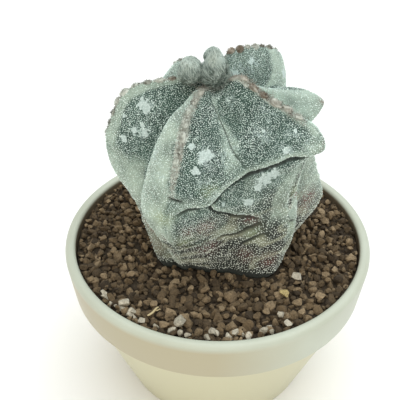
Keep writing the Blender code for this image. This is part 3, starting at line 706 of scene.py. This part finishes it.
def skin_points(rings, count, draw):
    """Random places on the skin, even by area: points, normals and grid places."""
    here, beside = rings[:-1], np.roll(rings[:-1], -1, axis=1)
    below, across = rings[1:], np.roll(rings[1:], -1, axis=1)
    normal = np.cross(below - here, beside - here)
    area = np.linalg.norm(normal, axis=2)
    pick = draw.choice(area.size, size=count, p=(area / area.sum()).ravel())
    row, column = np.divmod(pick, rings.shape[1])
    u, v = draw.random((2, count, 1))
    points = ((here[row, column] * (1 - u) + beside[row, column] * u) * (1 - v)
              + (below[row, column] * (1 - u) + across[row, column] * u) * v)
    return points, normal[row, column] / np.maximum(area[row, column], 1e-9)[:, None], row, column


def keep_apart(points, gaps, limit):
    """The first points in order that keep their gap to all that were kept before."""
    cell = float(np.max(gaps))
    keys = np.floor(points / cell).astype(int).tolist()
    around = [(i, j, k) for i in (-1, 0, 1) for j in (-1, 0, 1) for k in (-1, 0, 1)]
    cells = {}
    kept = []
    for index, (key, point, gap) in enumerate(zip(keys, points.tolist(), gaps.tolist())):
        near = (other for i, j, k in around
                for other in cells.get((key[0] + i, key[1] + j, key[2] + k), ()))
        if all((point[0] - a) ** 2 + (point[1] - b) ** 2 + (point[2] - c) ** 2
               > (0.5 * (gap + other_gap)) ** 2 for a, b, c, other_gap in near):
            cells.setdefault(tuple(key), []).append((*point, gap))
            kept.append(index)
            if len(kept) == limit:
                break
    return np.array(kept)


def tangents(normals, draw):
    """Two directions at right angles to each normal, turned at random about it."""
    first = unit(np.cross(normals, draw.normal(size=normals.shape)))
    return first, np.cross(normals, first)


def fleck_tufts():
    """Small blunt tufts as four-sided points, their base sunk in the skin."""
    draw = np.random.default_rng(5)
    points, normals, row, column = skin_points(stem_rings, FLECK_CANDIDATES, draw)
    paint = {name: values[row, column] for name, values in stem_paint.items()}
    dense = np.clip(0.5 + 0.5 * ruffle(points, 6.5, 11) + 0.6 * paint["smudge"], 0, 1)
    wanted = (paint["chalk"] < 0.35) & (paint["felt"] < 0.85) & (paint["crease_shade"] < 0.35)
    wanted &= (points[:, 2] > POT_HEIGHT - 3) & (station_of_row[row] < 9.9)
    wanted &= draw.random(len(points)) < 0.7 + 0.4 * dense
    # Fewer flecks where the skin is painted pale as lit.
    wanted &= draw.random(len(points)) > 0.85 * paint["pale"]
    wanted = np.flatnonzero(wanted)
    low = low_share[row[wanted], 0]
    kept = keep_apart(points[wanted], FLECK_SPACING * (1 + 0.40 * low), FLECK_LIMIT)
    low, kept = low[kept, None], wanted[kept]
    points, normals, dense = points[kept], normals[kept], dense[kept, None]
    first, second = tangents(normals, draw)
    wide = FLECK_WIDTH / 2 * draw.uniform(0.7, 1.3, (len(points), 1)) * (0.85 + 0.35 * dense)
    wide *= 1 + 0.20 * low
    tall = FLECK_HEIGHT * draw.uniform(0.6, 1.2, (len(points), 1))
    base = points - normals * FLECK_DEPTH
    long, short = first * wide * 1.9, second * wide * 0.8
    corners = np.stack([base + long, base + short, base - long, base - short,
                        points + normals * tall + first * 0.08], 1)
    pattern = np.array([(0, 1, 4), (1, 2, 4), (2, 3, 4), (3, 0, 4), (0, 3, 2), (0, 2, 1)])
    faces = (np.arange(len(points))[:, None, None] * 5 + pattern).reshape(-1, 3)
    tone, age = draw.random(len(points)), 0.5 * paint["old"][kept]
    numbers = {"tone": np.repeat(tone, 5), "age": np.repeat(age, 5)}
    return corners.reshape(-1, 3), faces, numbers


def toned_material(name, dark, light, mark, marked):
    """Matt wool: its colour runs from dark to light with each tuft's own tone, and to
    another colour with its own mark."""
    made, tree, shader = new_material(name, 1.0)
    tone, share = (add(tree, "Attribute", output="Fac", attribute_name=label)
                   for label in ("tone", mark))
    wool = paint_over(tree, dark, light, tone)
    finish_shader(tree, shader, paint_over(tree, wool, marked, share))
    return made


fleck_points, fleck_faces, fleck_numbers = fleck_tufts()
fleck_wool = toned_material("Cactus trichomes, white", "#a8beb3", "#e8f5ee", "age", "#d9d7c6")
add_piece("skin_flecks", fleck_points, fleck_faces, fleck_wool, "stem", smooth=False,
          numbers=fleck_numbers)

# --- The areoles ---------------------------------------------------------------------
# Along the crests sit felt cushions, one for each areole, on a thin seam of the same
# felt. They grow in the skin: rusty near the crown, grey when old. The right rib is bare.

AREOLE_PITCH = 4.4
AREOLE_FIRST = 5.0
AREOLE_HAIRS = 28
SEAM_HAIRS = 1000
FELT_CLOUDS = 1.8
HAIR_SIDES = 3
HAIR_POINTS = 2 * HAIR_SIDES + 1
HAIR_WIDTH = 0.17


def fibres(roots, directions, lengths, widths, bends):
    """Tapered three-sided hairs: each runs from its root along its direction and bends."""
    count = len(roots)
    directions = unit(directions)
    across = unit(np.cross(directions, (0.31, 0.57, 0.76)))
    other = np.cross(directions, across)
    middle = roots + directions * (lengths * 0.5)[:, None] + bends * 0.25
    tips = roots + directions * lengths[:, None] + bends
    rings = []
    for centre, share in ((roots, 1.0), (middle, 0.75)):
        for side in range(HAIR_SIDES):
            angle = 2 * math.pi * side / HAIR_SIDES
            spoke = across * math.cos(angle) + other * math.sin(angle)
            rings.append(centre + spoke * (widths * share / 2)[:, None])
    points = np.stack([*rings, tips], 1).reshape(-1, 3)
    pattern = np.array([(0, 2, 1), (0, 1, 4), (0, 4, 3), (1, 2, 5), (1, 5, 4), (2, 0, 3), (2, 3, 5),
                        (3, 4, 6), (4, 5, 6), (5, 3, 6)])
    faces = (np.arange(count)[:, None, None] * HAIR_POINTS + pattern).reshape(-1, 3)
    return points, faces


def ball(detail):
    """Points and faces of a unit ball of even triangles."""
    work = bmesh.new()
    bmesh.ops.create_icosphere(work, subdivisions=detail, radius=1.0)
    points = np.array([v.co for v in work.verts])
    faces = np.array([[v.index for v in face.verts] for face in work.faces])
    work.free()
    return points, faces


def crest_frames(index):
    """The rib's crest on the finished skin: points, directions along it and outwards."""
    column = (2 * index + 1) * FLANK_STEPS
    line = stem_rings[:, column]
    along = unit(np.gradient(line, axis=0))
    across = unit(stem_rings[:, column + 2] - stem_rings[:, column - 2])
    outward = np.cross(across, along)
    outward *= np.sign((outward * (line - np.array([*STEM_AXIS, POT_HEIGHT + 30]))).sum(1))[:, None]
    return line, along, unit(outward)


def areole_places(index):
    """Rows of the crest that carry an areole, a pitch apart along it."""
    line, _, _ = crest_frames(index)
    step = np.linalg.norm(np.diff(line, axis=0), axis=1)
    length = np.concatenate([[0], np.cumsum(step)])
    last = length[int((RIBS[index]["felt_end"] - 0.2) / STATIONS * (STEM_ROWS - 1))]
    return [int(np.argmin(np.abs(length - along)))
            for along in np.arange(AREOLE_FIRST, last, AREOLE_PITCH)]


def joined(parts):
    """One mesh of many parts, each with its points, faces and points' numbers."""
    starts = np.cumsum([0] + [len(points) for points, _, _ in parts])
    faces = np.vstack([faces + start for (_, faces, _), start in zip(parts, starts)])
    numbers = {name: np.concatenate([part[name] * np.ones(len(points)) for points, _, part in parts])
               for name in parts[0][2]}
    return np.vstack([points for points, _, _ in parts]), faces, numbers


def cushion(index, row, draw):
    """One areole: a lumpy cushion of felt on the crest, and the hairs that stand out."""
    rib, station = RIBS[index], station_of_row[row]
    place, along, outward = (values[row] for values in crest_frames(index))
    across = np.cross(along, outward)
    long, wide, tall = rib["cushion"]
    young = float(np.clip(1 - station / rib["rusty"], 0, 1))
    fade = np.interp(station, (4.0, 6.3), (0, 1))
    size = draw.uniform(0.65, 1.25) * min(1.0, 0.5 + station * 0.3) * (1 - 0.4 * fade)
    half = np.array([long / 2, wide / 2, tall]) * size
    core, core_faces = ball(3)
    tufted = ruffle(core, 0.45, row + index)
    basis = np.stack([along, across, outward])
    wander = 0.45 * math.sin(2.2 * station + index) * min(1.0, rib["felt"])
    centre = place - outward * 0.12 + across * (wander + draw.normal(scale=0.1) * wide)
    tone = rib["wool"] - 0.3 * young + 0.2 * fade + draw.uniform(-0.22, 0.18)
    tone += 0.6 * float(ruffle(centre, FELT_CLOUDS, 13))
    rust = 0.65 * young + draw.uniform(0.0, 0.1)
    lump = centre + (core * (1 + 0.3 * tufted[:, None]) * half) @ basis
    count = int(AREOLE_HAIRS * long * wide / 4)
    seat = unit(draw.normal(size=(count, 3)))
    seat[:, 2] = np.abs(seat[:, 2])
    way = (seat * np.array([0.6, 0.8, 1.0]) + np.array([0, 0, 0.3])) @ basis
    hairs, hair_faces = fibres(centre + (seat * half * 0.92) @ basis, way,
                               draw.uniform(0.35, 0.8, count), np.full(count, HAIR_WIDTH),
                               draw.normal(scale=0.25, size=(count, 3)))
    hair_tone = np.repeat(tone + draw.uniform(-0.45, 0.4, count), HAIR_POINTS)
    return [(lump, core_faces, {"tone": tone + 0.5 * tufted, "rust": rust}),
            (hairs, hair_faces, {"tone": hair_tone, "rust": 0.8 * rust})]


def seam(index, draw):
    """The thin seam of felt along the rib's crest. It swells and thins along its way."""
    rib = RIBS[index]
    count = int(SEAM_HAIRS * rib["felt"])
    rows = draw.integers(3, int(rib["felt_end"] / STATIONS * STEM_ROWS) - 6, count)
    line, along, outward = (values[rows] for values in crest_frames(index))
    across = np.cross(along, outward)
    rust = np.clip(1 - station_of_row[rows] / (rib["rusty"] + 0.6), 0.05, 1)
    fullness = 0.5 + 0.5 * np.sin(rows * 0.55) * np.sin(rows * 0.21 + 1.0)
    reach = rib["felt"] * 0.5 * (0.55 + 0.8 * fullness)
    root = line + across * (draw.normal(size=count) * reach)[:, None]
    way = outward + draw.normal(scale=0.8, size=(count, 3))
    hairs, faces = fibres(root - outward * 0.2, way, draw.uniform(0.4, 0.9, count),
                          draw.uniform(0.13, 0.24, count), draw.normal(scale=0.3, size=(count, 3)))
    tone = rib["wool"] - 0.2 * rust + draw.uniform(-0.4, 0.35, count)
    tone += 0.8 * ruffle(root, FELT_CLOUDS, 13)
    tone, rust = np.repeat(tone, HAIR_POINTS), np.repeat(0.5 * rust, HAIR_POINTS)
    return hairs, faces, {"tone": tone, "rust": rust}


def areole_felt():
    """The cushions and the seams of all ribs as one mesh."""
    draw = np.random.default_rng(8)
    parts = []
    for index, rib in enumerate(RIBS):
        for row in areole_places(index) if rib["cushion"][0] else []:
            parts += cushion(index, row, draw)
        parts.append(seam(index, draw))
    points, faces, numbers = joined(parts)
    numbers["tone"] = np.clip(numbers["tone"], 0, 1)
    return points, faces, numbers


felt_points, felt_faces, felt_numbers = areole_felt()
felt_wool = toned_material("Areole wool, grey to rust", "#55544a", "#d2dad0", "rust", "#876d55")
add_piece("areole_felt", felt_points, felt_faces, felt_wool, "wool", numbers=felt_numbers)

# --- The buds ------------------------------------------------------------------------
# Three flower buds on the crown, each an egg of scales wrapped in long grey-white wool
# that is combed up towards the tip.

BUD_HAIRS = 3200
BUD_SWIRL = 0.45
BUD_LOCKS = 9
# Each bud's core beside its solid, its hair length, how much it narrows to the tip, how square its
# shoulders are, and how much lighter than the others it is painted, as painted light on a bud in the
# others' shade.
BUD_FORMS = {"bud_front": (0.90, 1.0, 0.22, 2.0, 0.0), "bud_left": (0.88, 0.8, 0.06, 2.8, 0.08),
             "bud_rear": (0.88, 0.5, 0.20, 2.0, 0.0)}


def bud_piece(node, seed, material):
    """A lumpy core in the space of the bud's solid, and its combed wool."""
    core_share, hair_share, taper, shoulder, painted_light = BUD_FORMS[node]
    low, high = (np.array(corner) * 1000 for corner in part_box(node))
    centre, half = (low + high) / 2, (high - low) / 2
    draw = np.random.default_rng(seed)
    core, core_faces = ball(4)

    def egg(sphere):
        level, height = sphere[:, :2], sphere[:, 2:]
        reach = np.linalg.norm(level, axis=1, keepdims=True)
        squarer = (reach ** shoulder + np.abs(height) ** shoulder) ** (-1 / shoulder)
        return np.hstack([level * squarer * (1.06 - taper * height), height * squarer]) * half

    shape = centre + egg(core) * core_share
    shape += (shape - centre) * 0.05 * ruffle(core, 0.35, seed)[:, None]
    seat = unit(draw.normal(size=(BUD_HAIRS, 3)))
    seat[:, 2] = np.maximum(seat[:, 2], -0.85)
    root = centre + egg(seat) * (core_share - 0.02)
    away = unit(root - centre)
    swirl = np.cross(away, (0, 0, 1.0))
    up = np.array([0, 0, 1.0]) - away * away[:, 2:3]
    way = up + away * 0.32 + swirl * (BUD_SWIRL + draw.normal(scale=0.25, size=(BUD_HAIRS, 1)))
    way += draw.normal(scale=0.10, size=(BUD_HAIRS, 3))
    length = draw.uniform(1.6, 3.6, BUD_HAIRS) * (1 - 0.6 * np.clip(seat[:, 2], 0, 1)) * hair_share
    bend = -away * (0.36 * length)[:, None] + draw.normal(scale=0.2, size=(BUD_HAIRS, 3))
    hairs, hair_faces = fibres(root, way, length, draw.uniform(0.18, 0.36, BUD_HAIRS), bend)
    turn = np.arctan2(seat[:, 1], seat[:, 0]) - BUD_SWIRL * 1.6 * seat[:, 2]
    lock = np.sin(turn * BUD_LOCKS + 1.3 * np.sin(turn * 4 + seed))
    # Painted light lifts the tone of a shaded bud.
    tone = 0.5 + painted_light + 0.2 * lock + 0.25 * seat[:, 2] + draw.uniform(-0.4, 0.4, BUD_HAIRS)
    tone = np.repeat(np.clip(tone, 0, 1), HAIR_POINTS)
    core_scale, scale = (0.85 * np.clip((-0.80 - height) / 0.15, 0, 1)
                         for height in (core[:, 2], np.repeat(seat[:, 2], HAIR_POINTS)))
    points, faces, numbers = joined([
        (shape, core_faces, {"tone": 0.3 + 0.25 * core[:, 2], "scale": core_scale}),
        (hairs, hair_faces, {"tone": tone, "scale": scale})])
    piece = add_piece(node + "_wool", points, faces, material, "wool", numbers=numbers)
    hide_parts(node)


bud_wool = toned_material("Bud wool, grey-white", "#586b61", "#cfdbd2", "scale", "#4b3a34")
for seed, node in enumerate(("bud_front", "bud_left", "bud_rear")):
    bud_piece(node, 21 + seed, bud_wool)

# --- The grit ------------------------------------------------------------------------
# Crushed lava, up to five millimetres, poured round the plant and levelled just under
# the lip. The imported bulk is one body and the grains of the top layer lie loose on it.

BED_TOP = 58.3
BED_GAP = 0.45
GRAIN_SIZES = (3.7, 3.1, 2.6, 2.2, 1.8, 1.5)
GRAIN_CHANCES = (0.05, 0.12, 0.20, 0.25, 0.23, 0.15)
GRAIN_TOUCH = 0.78
GRAIN_LEVEL = 58.7
GRAIN_CUTS = 9
# Each layer: the seed of its places, how far apart and how high its grains lie, how many
# are tried, their size, how finely they are cut, the seed of their shapes, how light.
GRAIN_LAYERS = (("grit_lower_grains", 31, 1.0, 0.0, 9000, 1.0, 2, 41, 0.9),
                ("grit_fine_crumbs", 33, 1.0, 0.5, 9000, 0.55, 1, 43, 0.45),
                ("grit_upper_grains", 32, 1.25, 0.9, 5400, 1.0, 2, 42, 1.0))
BED_SIDES = 120
FOOT_SLICES = 72
PORES = 2 / 3
FRONT_COARSER = 0.30


def from_axis(x, y):
    """The bearing and the distance of places from the stem's axis."""
    east, north = x - STEM_AXIS[0], y - STEM_AXIS[1]
    return np.arctan2(north, east), np.hypot(east, north)


def bed_skin():
    """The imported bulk: a flat-bottomed plug with a hollow where the taproot sits."""
    angles = 2 * np.pi * np.arange(BED_SIDES) / BED_SIDES
    outline = [(FOOT_RADIUS - WALL - 1.2, FLOOR_HIGH + BED_GAP),
               (FOOT_RADIUS - WALL + 0.1, FLOOR_HIGH + 1.0),
               (BODY_TOP_RADIUS - WALL - BED_GAP - 0.1, COLLAR_LOW + 0.4),
               (COLLAR_LOW_RADIUS - WALL - 0.8, COLLAR_LOW + 2.2),
               (MOUTH_RADIUS - BED_GAP - 0.1, BED_TOP - 0.5),
               (MOUTH_RADIUS - 1.6, BED_TOP)]
    rings = [np.stack([r * np.cos(angles), r * np.sin(angles), np.full(BED_SIDES, z)], 1)
             for r, z in outline]
    bearing, reach = from_axis(*stem_foot[:, :2].T)
    wrapped = np.interp(angles, bearing, reach, period=2 * np.pi)
    for drop, scale in ((stem_foot[0, 2] - BED_TOP, 0.97), *ROOT):
        out = wrapped * scale + BED_GAP
        rings.append(np.stack([STEM_AXIS[0] + out * np.cos(angles), STEM_AXIS[1] + out * np.sin(angles),
                               np.full(BED_SIDES, stem_foot[0, 2] - drop)], 1))
    tip = (*STEM_AXIS, stem_foot[0, 2] - ROOT_TIP - BED_GAP)
    points, faces = closed_skin(rings, (0, 0, FLOOR_HIGH + BED_GAP), tip)
    return points, [tuple(reversed(face)) for face in faces]


def foot_reach(bearing):
    """How far the stem reaches from its axis at each bearing, near the grit."""
    low = stem_rings[(stem_rings[:, :, 2] < BED_TOP + 3.4)]

    def bins(turn):
        return np.floor((turn + np.pi) / (2 * np.pi) * FOOT_SLICES).astype(int) % FOOT_SLICES

    low_bearing, reach = from_axis(low[:, 0], low[:, 1])
    table = np.zeros(FOOT_SLICES)
    np.maximum.at(table, bins(low_bearing), reach)
    return table[bins(bearing)]


def crushed_grains(centres, sizes, detail, seed):
    """Broken grains: balls pressed out of round and cut by random planes."""
    draw = np.random.default_rng(seed)
    round_grain, faces = ball(detail)
    count = len(centres)
    cut_way = unit(draw.normal(size=(count, GRAIN_CUTS, 3)))
    cut_depth = draw.uniform(0.36, 0.74, (count, GRAIN_CUTS))
    shape = np.repeat(round_grain[None], count, 0)
    for cut in range(GRAIN_CUTS):
        way = cut_way[:, cut, None, :]
        over = np.maximum((shape * way).sum(2) - cut_depth[:, cut, None], 0)
        shape = shape - way * over[:, :, None]
    shape *= draw.uniform(0.62, 1.0, (count, 1, 3))
    shape *= 1 + 0.10 * ruffle(shape + np.arange(count)[:, None, None] * 3.7, 0.45, seed)[:, :, None]
    turn = [np.array(Matrix.Rotation(draw.uniform(0, 6.28), 3, "Z")
                     @ Matrix.Rotation(draw.normal() * 0.5, 3, "X")) for _ in range(count)]
    shape = np.einsum("nij,nvj->nvi", np.array(turn), shape)
    points = centres[:, None, :] + shape * (sizes / 2 * 1.36)[:, None, None]
    faces = (np.arange(count)[:, None, None] * len(round_grain) + faces).reshape(-1, 3)
    tone = np.repeat(draw.random(count), len(round_grain))
    return points.reshape(-1, 3), faces, tone


def grain_places(seed, share, level, tries):
    """Places and sizes for one layer of grains, the big ones first."""
    draw = np.random.default_rng(seed)
    sizes = np.sort(draw.choice(GRAIN_SIZES, tries, p=GRAIN_CHANCES))[::-1]
    sizes = sizes * draw.uniform(0.9, 1.1, tries)
    radius = np.sqrt(draw.random(tries)) * (MOUTH_RADIUS - 0.4)
    angle = draw.uniform(0, 2 * np.pi, tries)
    x, y = radius * np.cos(angle), radius * np.sin(angle)
    sizes = sizes * (1 - FRONT_COARSER * y / RIM_RADIUS)
    inside = radius < MOUTH_RADIUS - 0.3 - sizes * 0.45
    bearing, distance = from_axis(x, y)
    keep = inside & (distance > foot_reach(bearing) + sizes * 0.42)
    places, sizes = np.stack([x, y, np.zeros(tries)], 1)[keep], sizes[keep]
    kept = keep_apart(places, sizes * GRAIN_TOUCH * share, len(places))
    places, sizes = places[kept], sizes[kept]
    places[:, 2] = level + draw.uniform(-0.35, 0.45, len(places)) - sizes * 0.08
    return places, sizes


def lava_material(name, dark, middle, light):
    """Crushed lava: a dull, porous brown, each grain with its own shade and dust."""
    made, tree, shader = new_material(name, 0.95)
    place = add(tree, "TexCoord", output="Object")
    tone = add(tree, "Attribute", output="Fac", attribute_name="tone")
    pores = add(tree, "TexNoise", {"Vector": place, "Scale": 1000 / PORES, "Detail": 4.0,
                                   "Roughness": 0.7})
    body = paint_over(tree, dark, middle, 1.0, (tone, 0.0, 0.55))
    body = paint_over(tree, body, light, 1.0, (tone, 0.55, 1.0))
    shade = add(tree, "MapRange", {"Value": pores, "From Min": 0.35, "From Max": 0.7,
                                   "To Min": 0.55, "To Max": 1.25})
    colour = add(tree, "VectorMath", {0: body, 1: shade}, operation="MULTIPLY")
    finish_shader(tree, shader, colour, pores, 0.8, 0.0004)
    return made


lava = lava_material("Lava grit, crushed, brown", "#3a2f20", "#6f5d43", "#9d896b")
bed_points, bed_faces = bed_skin()
bed = add_piece("grit_bed", bed_points, bed_faces, lava, "grit", smooth=False,
                numbers={"tone": np.zeros(len(bed_points))})
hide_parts("substrate")
for label, places_seed, spacing, rise, tries, share, detail, seed, lightness in GRAIN_LAYERS:
    places, sizes = grain_places(places_seed, spacing, GRAIN_LEVEL + rise, tries)
    grain_points, grain_faces, grain_tone = crushed_grains(places, sizes * share, detail, seed)
    add_piece(label, grain_points, grain_faces, lava, "grit", smooth=False,
              numbers={"tone": lightness * grain_tone})

# --- The loose stones ----------------------------------------------------------------
# Washed pumice and bigger crushed lava strewn on the grit by hand, most of the pumice
# by the front lip. One pumice stone is stained yellow, and small chips lie between them.

CHIP_COUNT = 34
CHIP_ARC = (218, 292)
CHIP_SIZES = (1.5, 3.2)
CHIP_LEVEL = 60.2
CHIP_INSETS = (2.0, 2.6, 3.2, 4.6)


def stone_piece(node, number, detail, material, slot):
    """A stone in the space of its solid, broken rather than worn."""
    low, high = (np.array(corner) * 1000 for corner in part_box(node))
    points, faces, _ = crushed_grains(np.zeros((1, 3)), np.array([2.0]), detail, 300 + number)
    reach = np.abs(points).max(0)
    points = (low + high) / 2 + points / reach * (high - low) / 2
    draw = random.Random(number)
    stone = add_piece("stone_" + node, points, faces, material, slot,
                      numbers={"tone": np.full(len(points), draw.uniform(0.35, 1.0))})
    stone.data.set_sharp_from_angle(angle=math.radians(30))
    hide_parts(node)


pumice = lava_material("Pumice, washed, pale", "#9a9482", "#b4ad9a", "#cbc4b1")
stained = lava_material("Pumice, iron-stained, yellow", "#8b784c", "#a8945f", "#c4b27e")
for number, node in enumerate(sorted(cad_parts)):
    if node == "pumice_02":
        stone_piece(node, number, 4, stained, "pumice")
    elif node.startswith("pumice"):
        stone_piece(node, number, 4, pumice, "pumice")
    elif node.startswith("lava"):
        stone_piece(node, number, 3, lava, "lava")

chip_draw = random.Random(17)
chip_angles = [math.radians(chip_draw.uniform(*CHIP_ARC)) for _ in range(CHIP_COUNT)]
chip_places = np.array([[r * math.cos(a), r * math.sin(a), CHIP_LEVEL + chip_draw.uniform(-0.3, 0.3)]
                        for a in chip_angles
                        for r in [MOUTH_RADIUS - chip_draw.choice(CHIP_INSETS)]])
chip_sizes = np.array([chip_draw.uniform(*CHIP_SIZES) for _ in range(CHIP_COUNT)])
chip_kept = keep_apart(chip_places, chip_sizes * 0.9, CHIP_COUNT)
chip_places, chip_sizes = chip_places[chip_kept], chip_sizes[chip_kept]
chip_points, chip_faces, chip_tone = crushed_grains(chip_places, chip_sizes, 3, 51)
chips = add_piece("pumice_chips", chip_points, chip_faces, pumice, "pumice",
                  numbers={"tone": 0.3 + 0.7 * chip_tone})
chips.data.set_sharp_from_angle(angle=math.radians(30))

# --- The straw -----------------------------------------------------------------------
# One dry splinter of grass stem that blew in and lies loose on the grit by the front
# lip. It is thin and slightly bowed, and forked at its end.

STRAW_WIDTH = 0.95
STRAW_THICKNESS = 0.4
STRAW_STATIONS = 12
STRAW_FIBRE = 5 / 7


def straw_blade(start, end, width, rise):
    """A thin tapering blade from start to end, as rings of six points."""
    start, end = np.array(start, float), np.array(end, float)
    across = np.cross(end - start, (0, 0, 1))
    across /= np.linalg.norm(across)
    rings = []
    for part in np.linspace(0, 1, STRAW_STATIONS):
        centre = start + (end - start) * part + np.array([0, 0, rise * math.sin(math.pi * part)])
        centre = centre + across * 0.35 * math.sin(5 * part)
        share = 0.35 + 0.65 * math.sin(math.pi * min(1, 0.15 + 0.8 * part)) ** 0.5
        ring = [centre + across * math.cos(a) * width / 2 * share
                + np.array([0, 0, math.sin(a) * STRAW_THICKNESS / 2 * share])
                for a in np.arange(6) * math.pi / 3]
        rings.append(ring)
    return closed_skin(rings, start, end)


def straw_material():
    """Dry grass stem: pale, dull, and mottled by its fibres."""
    made, tree, shader = new_material("Dry straw", 0.7)
    place = add(tree, "TexCoord", output="Object")
    fibre = add(tree, "TexNoise", {"Vector": place, "Scale": 1000 / STRAW_FIBRE, "Detail": 3.0})
    finish_shader(tree, shader, paint_over(tree, "#9c8a62", "#d6c79c", fibre))
    return made


straw_low, straw_high = (np.array(corner) * 1000 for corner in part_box("straw_splinter"))
straw_level = straw_high[2] - STRAW_THICKNESS / 2 + 0.3
straw_start = (straw_low[0], straw_low[1], straw_level)
straw_end = (straw_high[0], straw_high[1], straw_level)
straw_fork = tuple(0.35 * a + 0.65 * b for a, b in zip(straw_start, straw_end))
blade_points, blade_faces = straw_blade(straw_start, straw_end, STRAW_WIDTH, 0.3)
twig_points, twig_faces = straw_blade(straw_fork, (straw_end[0] + 0.6, straw_end[1] - 1.3, straw_level),
                                      STRAW_WIDTH * 0.6, 0.2)
straw = add_piece("straw_blade", np.vstack([blade_points, twig_points]),
                  blade_faces + [tuple(i + len(blade_points) for i in face) for face in twig_faces],
                  straw_material(), "straw")
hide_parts("straw_splinter")

# --- Floor, lights and camera --------------------------------------------------------
# A plain pale table top under broad soft studio light: a cool box overhead and a warmer,
# weaker one in front. The camera looks down from above the front.

CAMERA_PLACE = (0.0, -0.26084, 0.28009)
CAMERA_ANGLES = (52.3717, -0.1293, 1.5672)
FOCAL_LENGTH = 80.55
SENSOR_WIDTH = 36.0
TABLE_HALF = 3.0


def add_floor():
    """A plain pale table top."""
    made, _, shader = new_material("Table top, white, matt", 0.9)
    shader.inputs["Base Color"].default_value = linear("#f6f6f4")
    mesh = bpy.data.meshes.new("floor")
    corners = [(x * TABLE_HALF, y * TABLE_HALF, 0.0) for x, y in ((-1, -1), (1, -1), (1, 1), (-1, 1))]
    mesh.from_pydata(corners, [], [(0, 1, 2, 3)])
    mesh.materials.append(made)
    floor = bpy.data.objects.new("floor", mesh)
    bpy.context.scene.collection.objects.link(floor)


def add_light(name, place, target, size, power, colour):
    """A square soft box that faces its target."""
    lamp = bpy.data.lights.new(name, "AREA")
    lamp.size = size
    lamp.energy = power
    lamp.color = linear(colour)[:3]
    box = bpy.data.objects.new(name, lamp)
    box.location = place
    box.rotation_euler = (Vector(target) - Vector(place)).to_track_quat("-Z", "Y").to_euler()
    bpy.context.scene.collection.objects.link(box)


def add_camera():
    """A fairly long lens that looks down from above the front."""
    lens = bpy.data.cameras.new("camera")
    lens.lens = FOCAL_LENGTH
    lens.sensor_width = SENSOR_WIDTH
    camera = bpy.data.objects.new("camera", lens)
    camera.location = CAMERA_PLACE
    camera.rotation_euler = [math.radians(angle) for angle in CAMERA_ANGLES]
    bpy.context.scene.collection.objects.link(camera)
    bpy.context.scene.camera = camera


add_floor()
add_light("key_softbox", (0.18, 0.12, 1.0), (0.0, 0.0, 0.08), 1.5, 11.0, "#f6fcff")
add_light("fill_softbox", (-0.25, -0.95, 0.45), (0.0, 0.0, 0.06), 1.0, 3.1, "#ffecd0")
add_camera()
world = bpy.data.worlds.new("studio")
world.use_nodes = True
world.node_tree.nodes["Background"].inputs["Color"].default_value = (1.0, 1.0, 1.0, 1.0)
world.node_tree.nodes["Background"].inputs["Strength"].default_value = 0.75
bpy.context.scene.world = world
bpy.context.scene.view_settings.view_transform = "Standard"
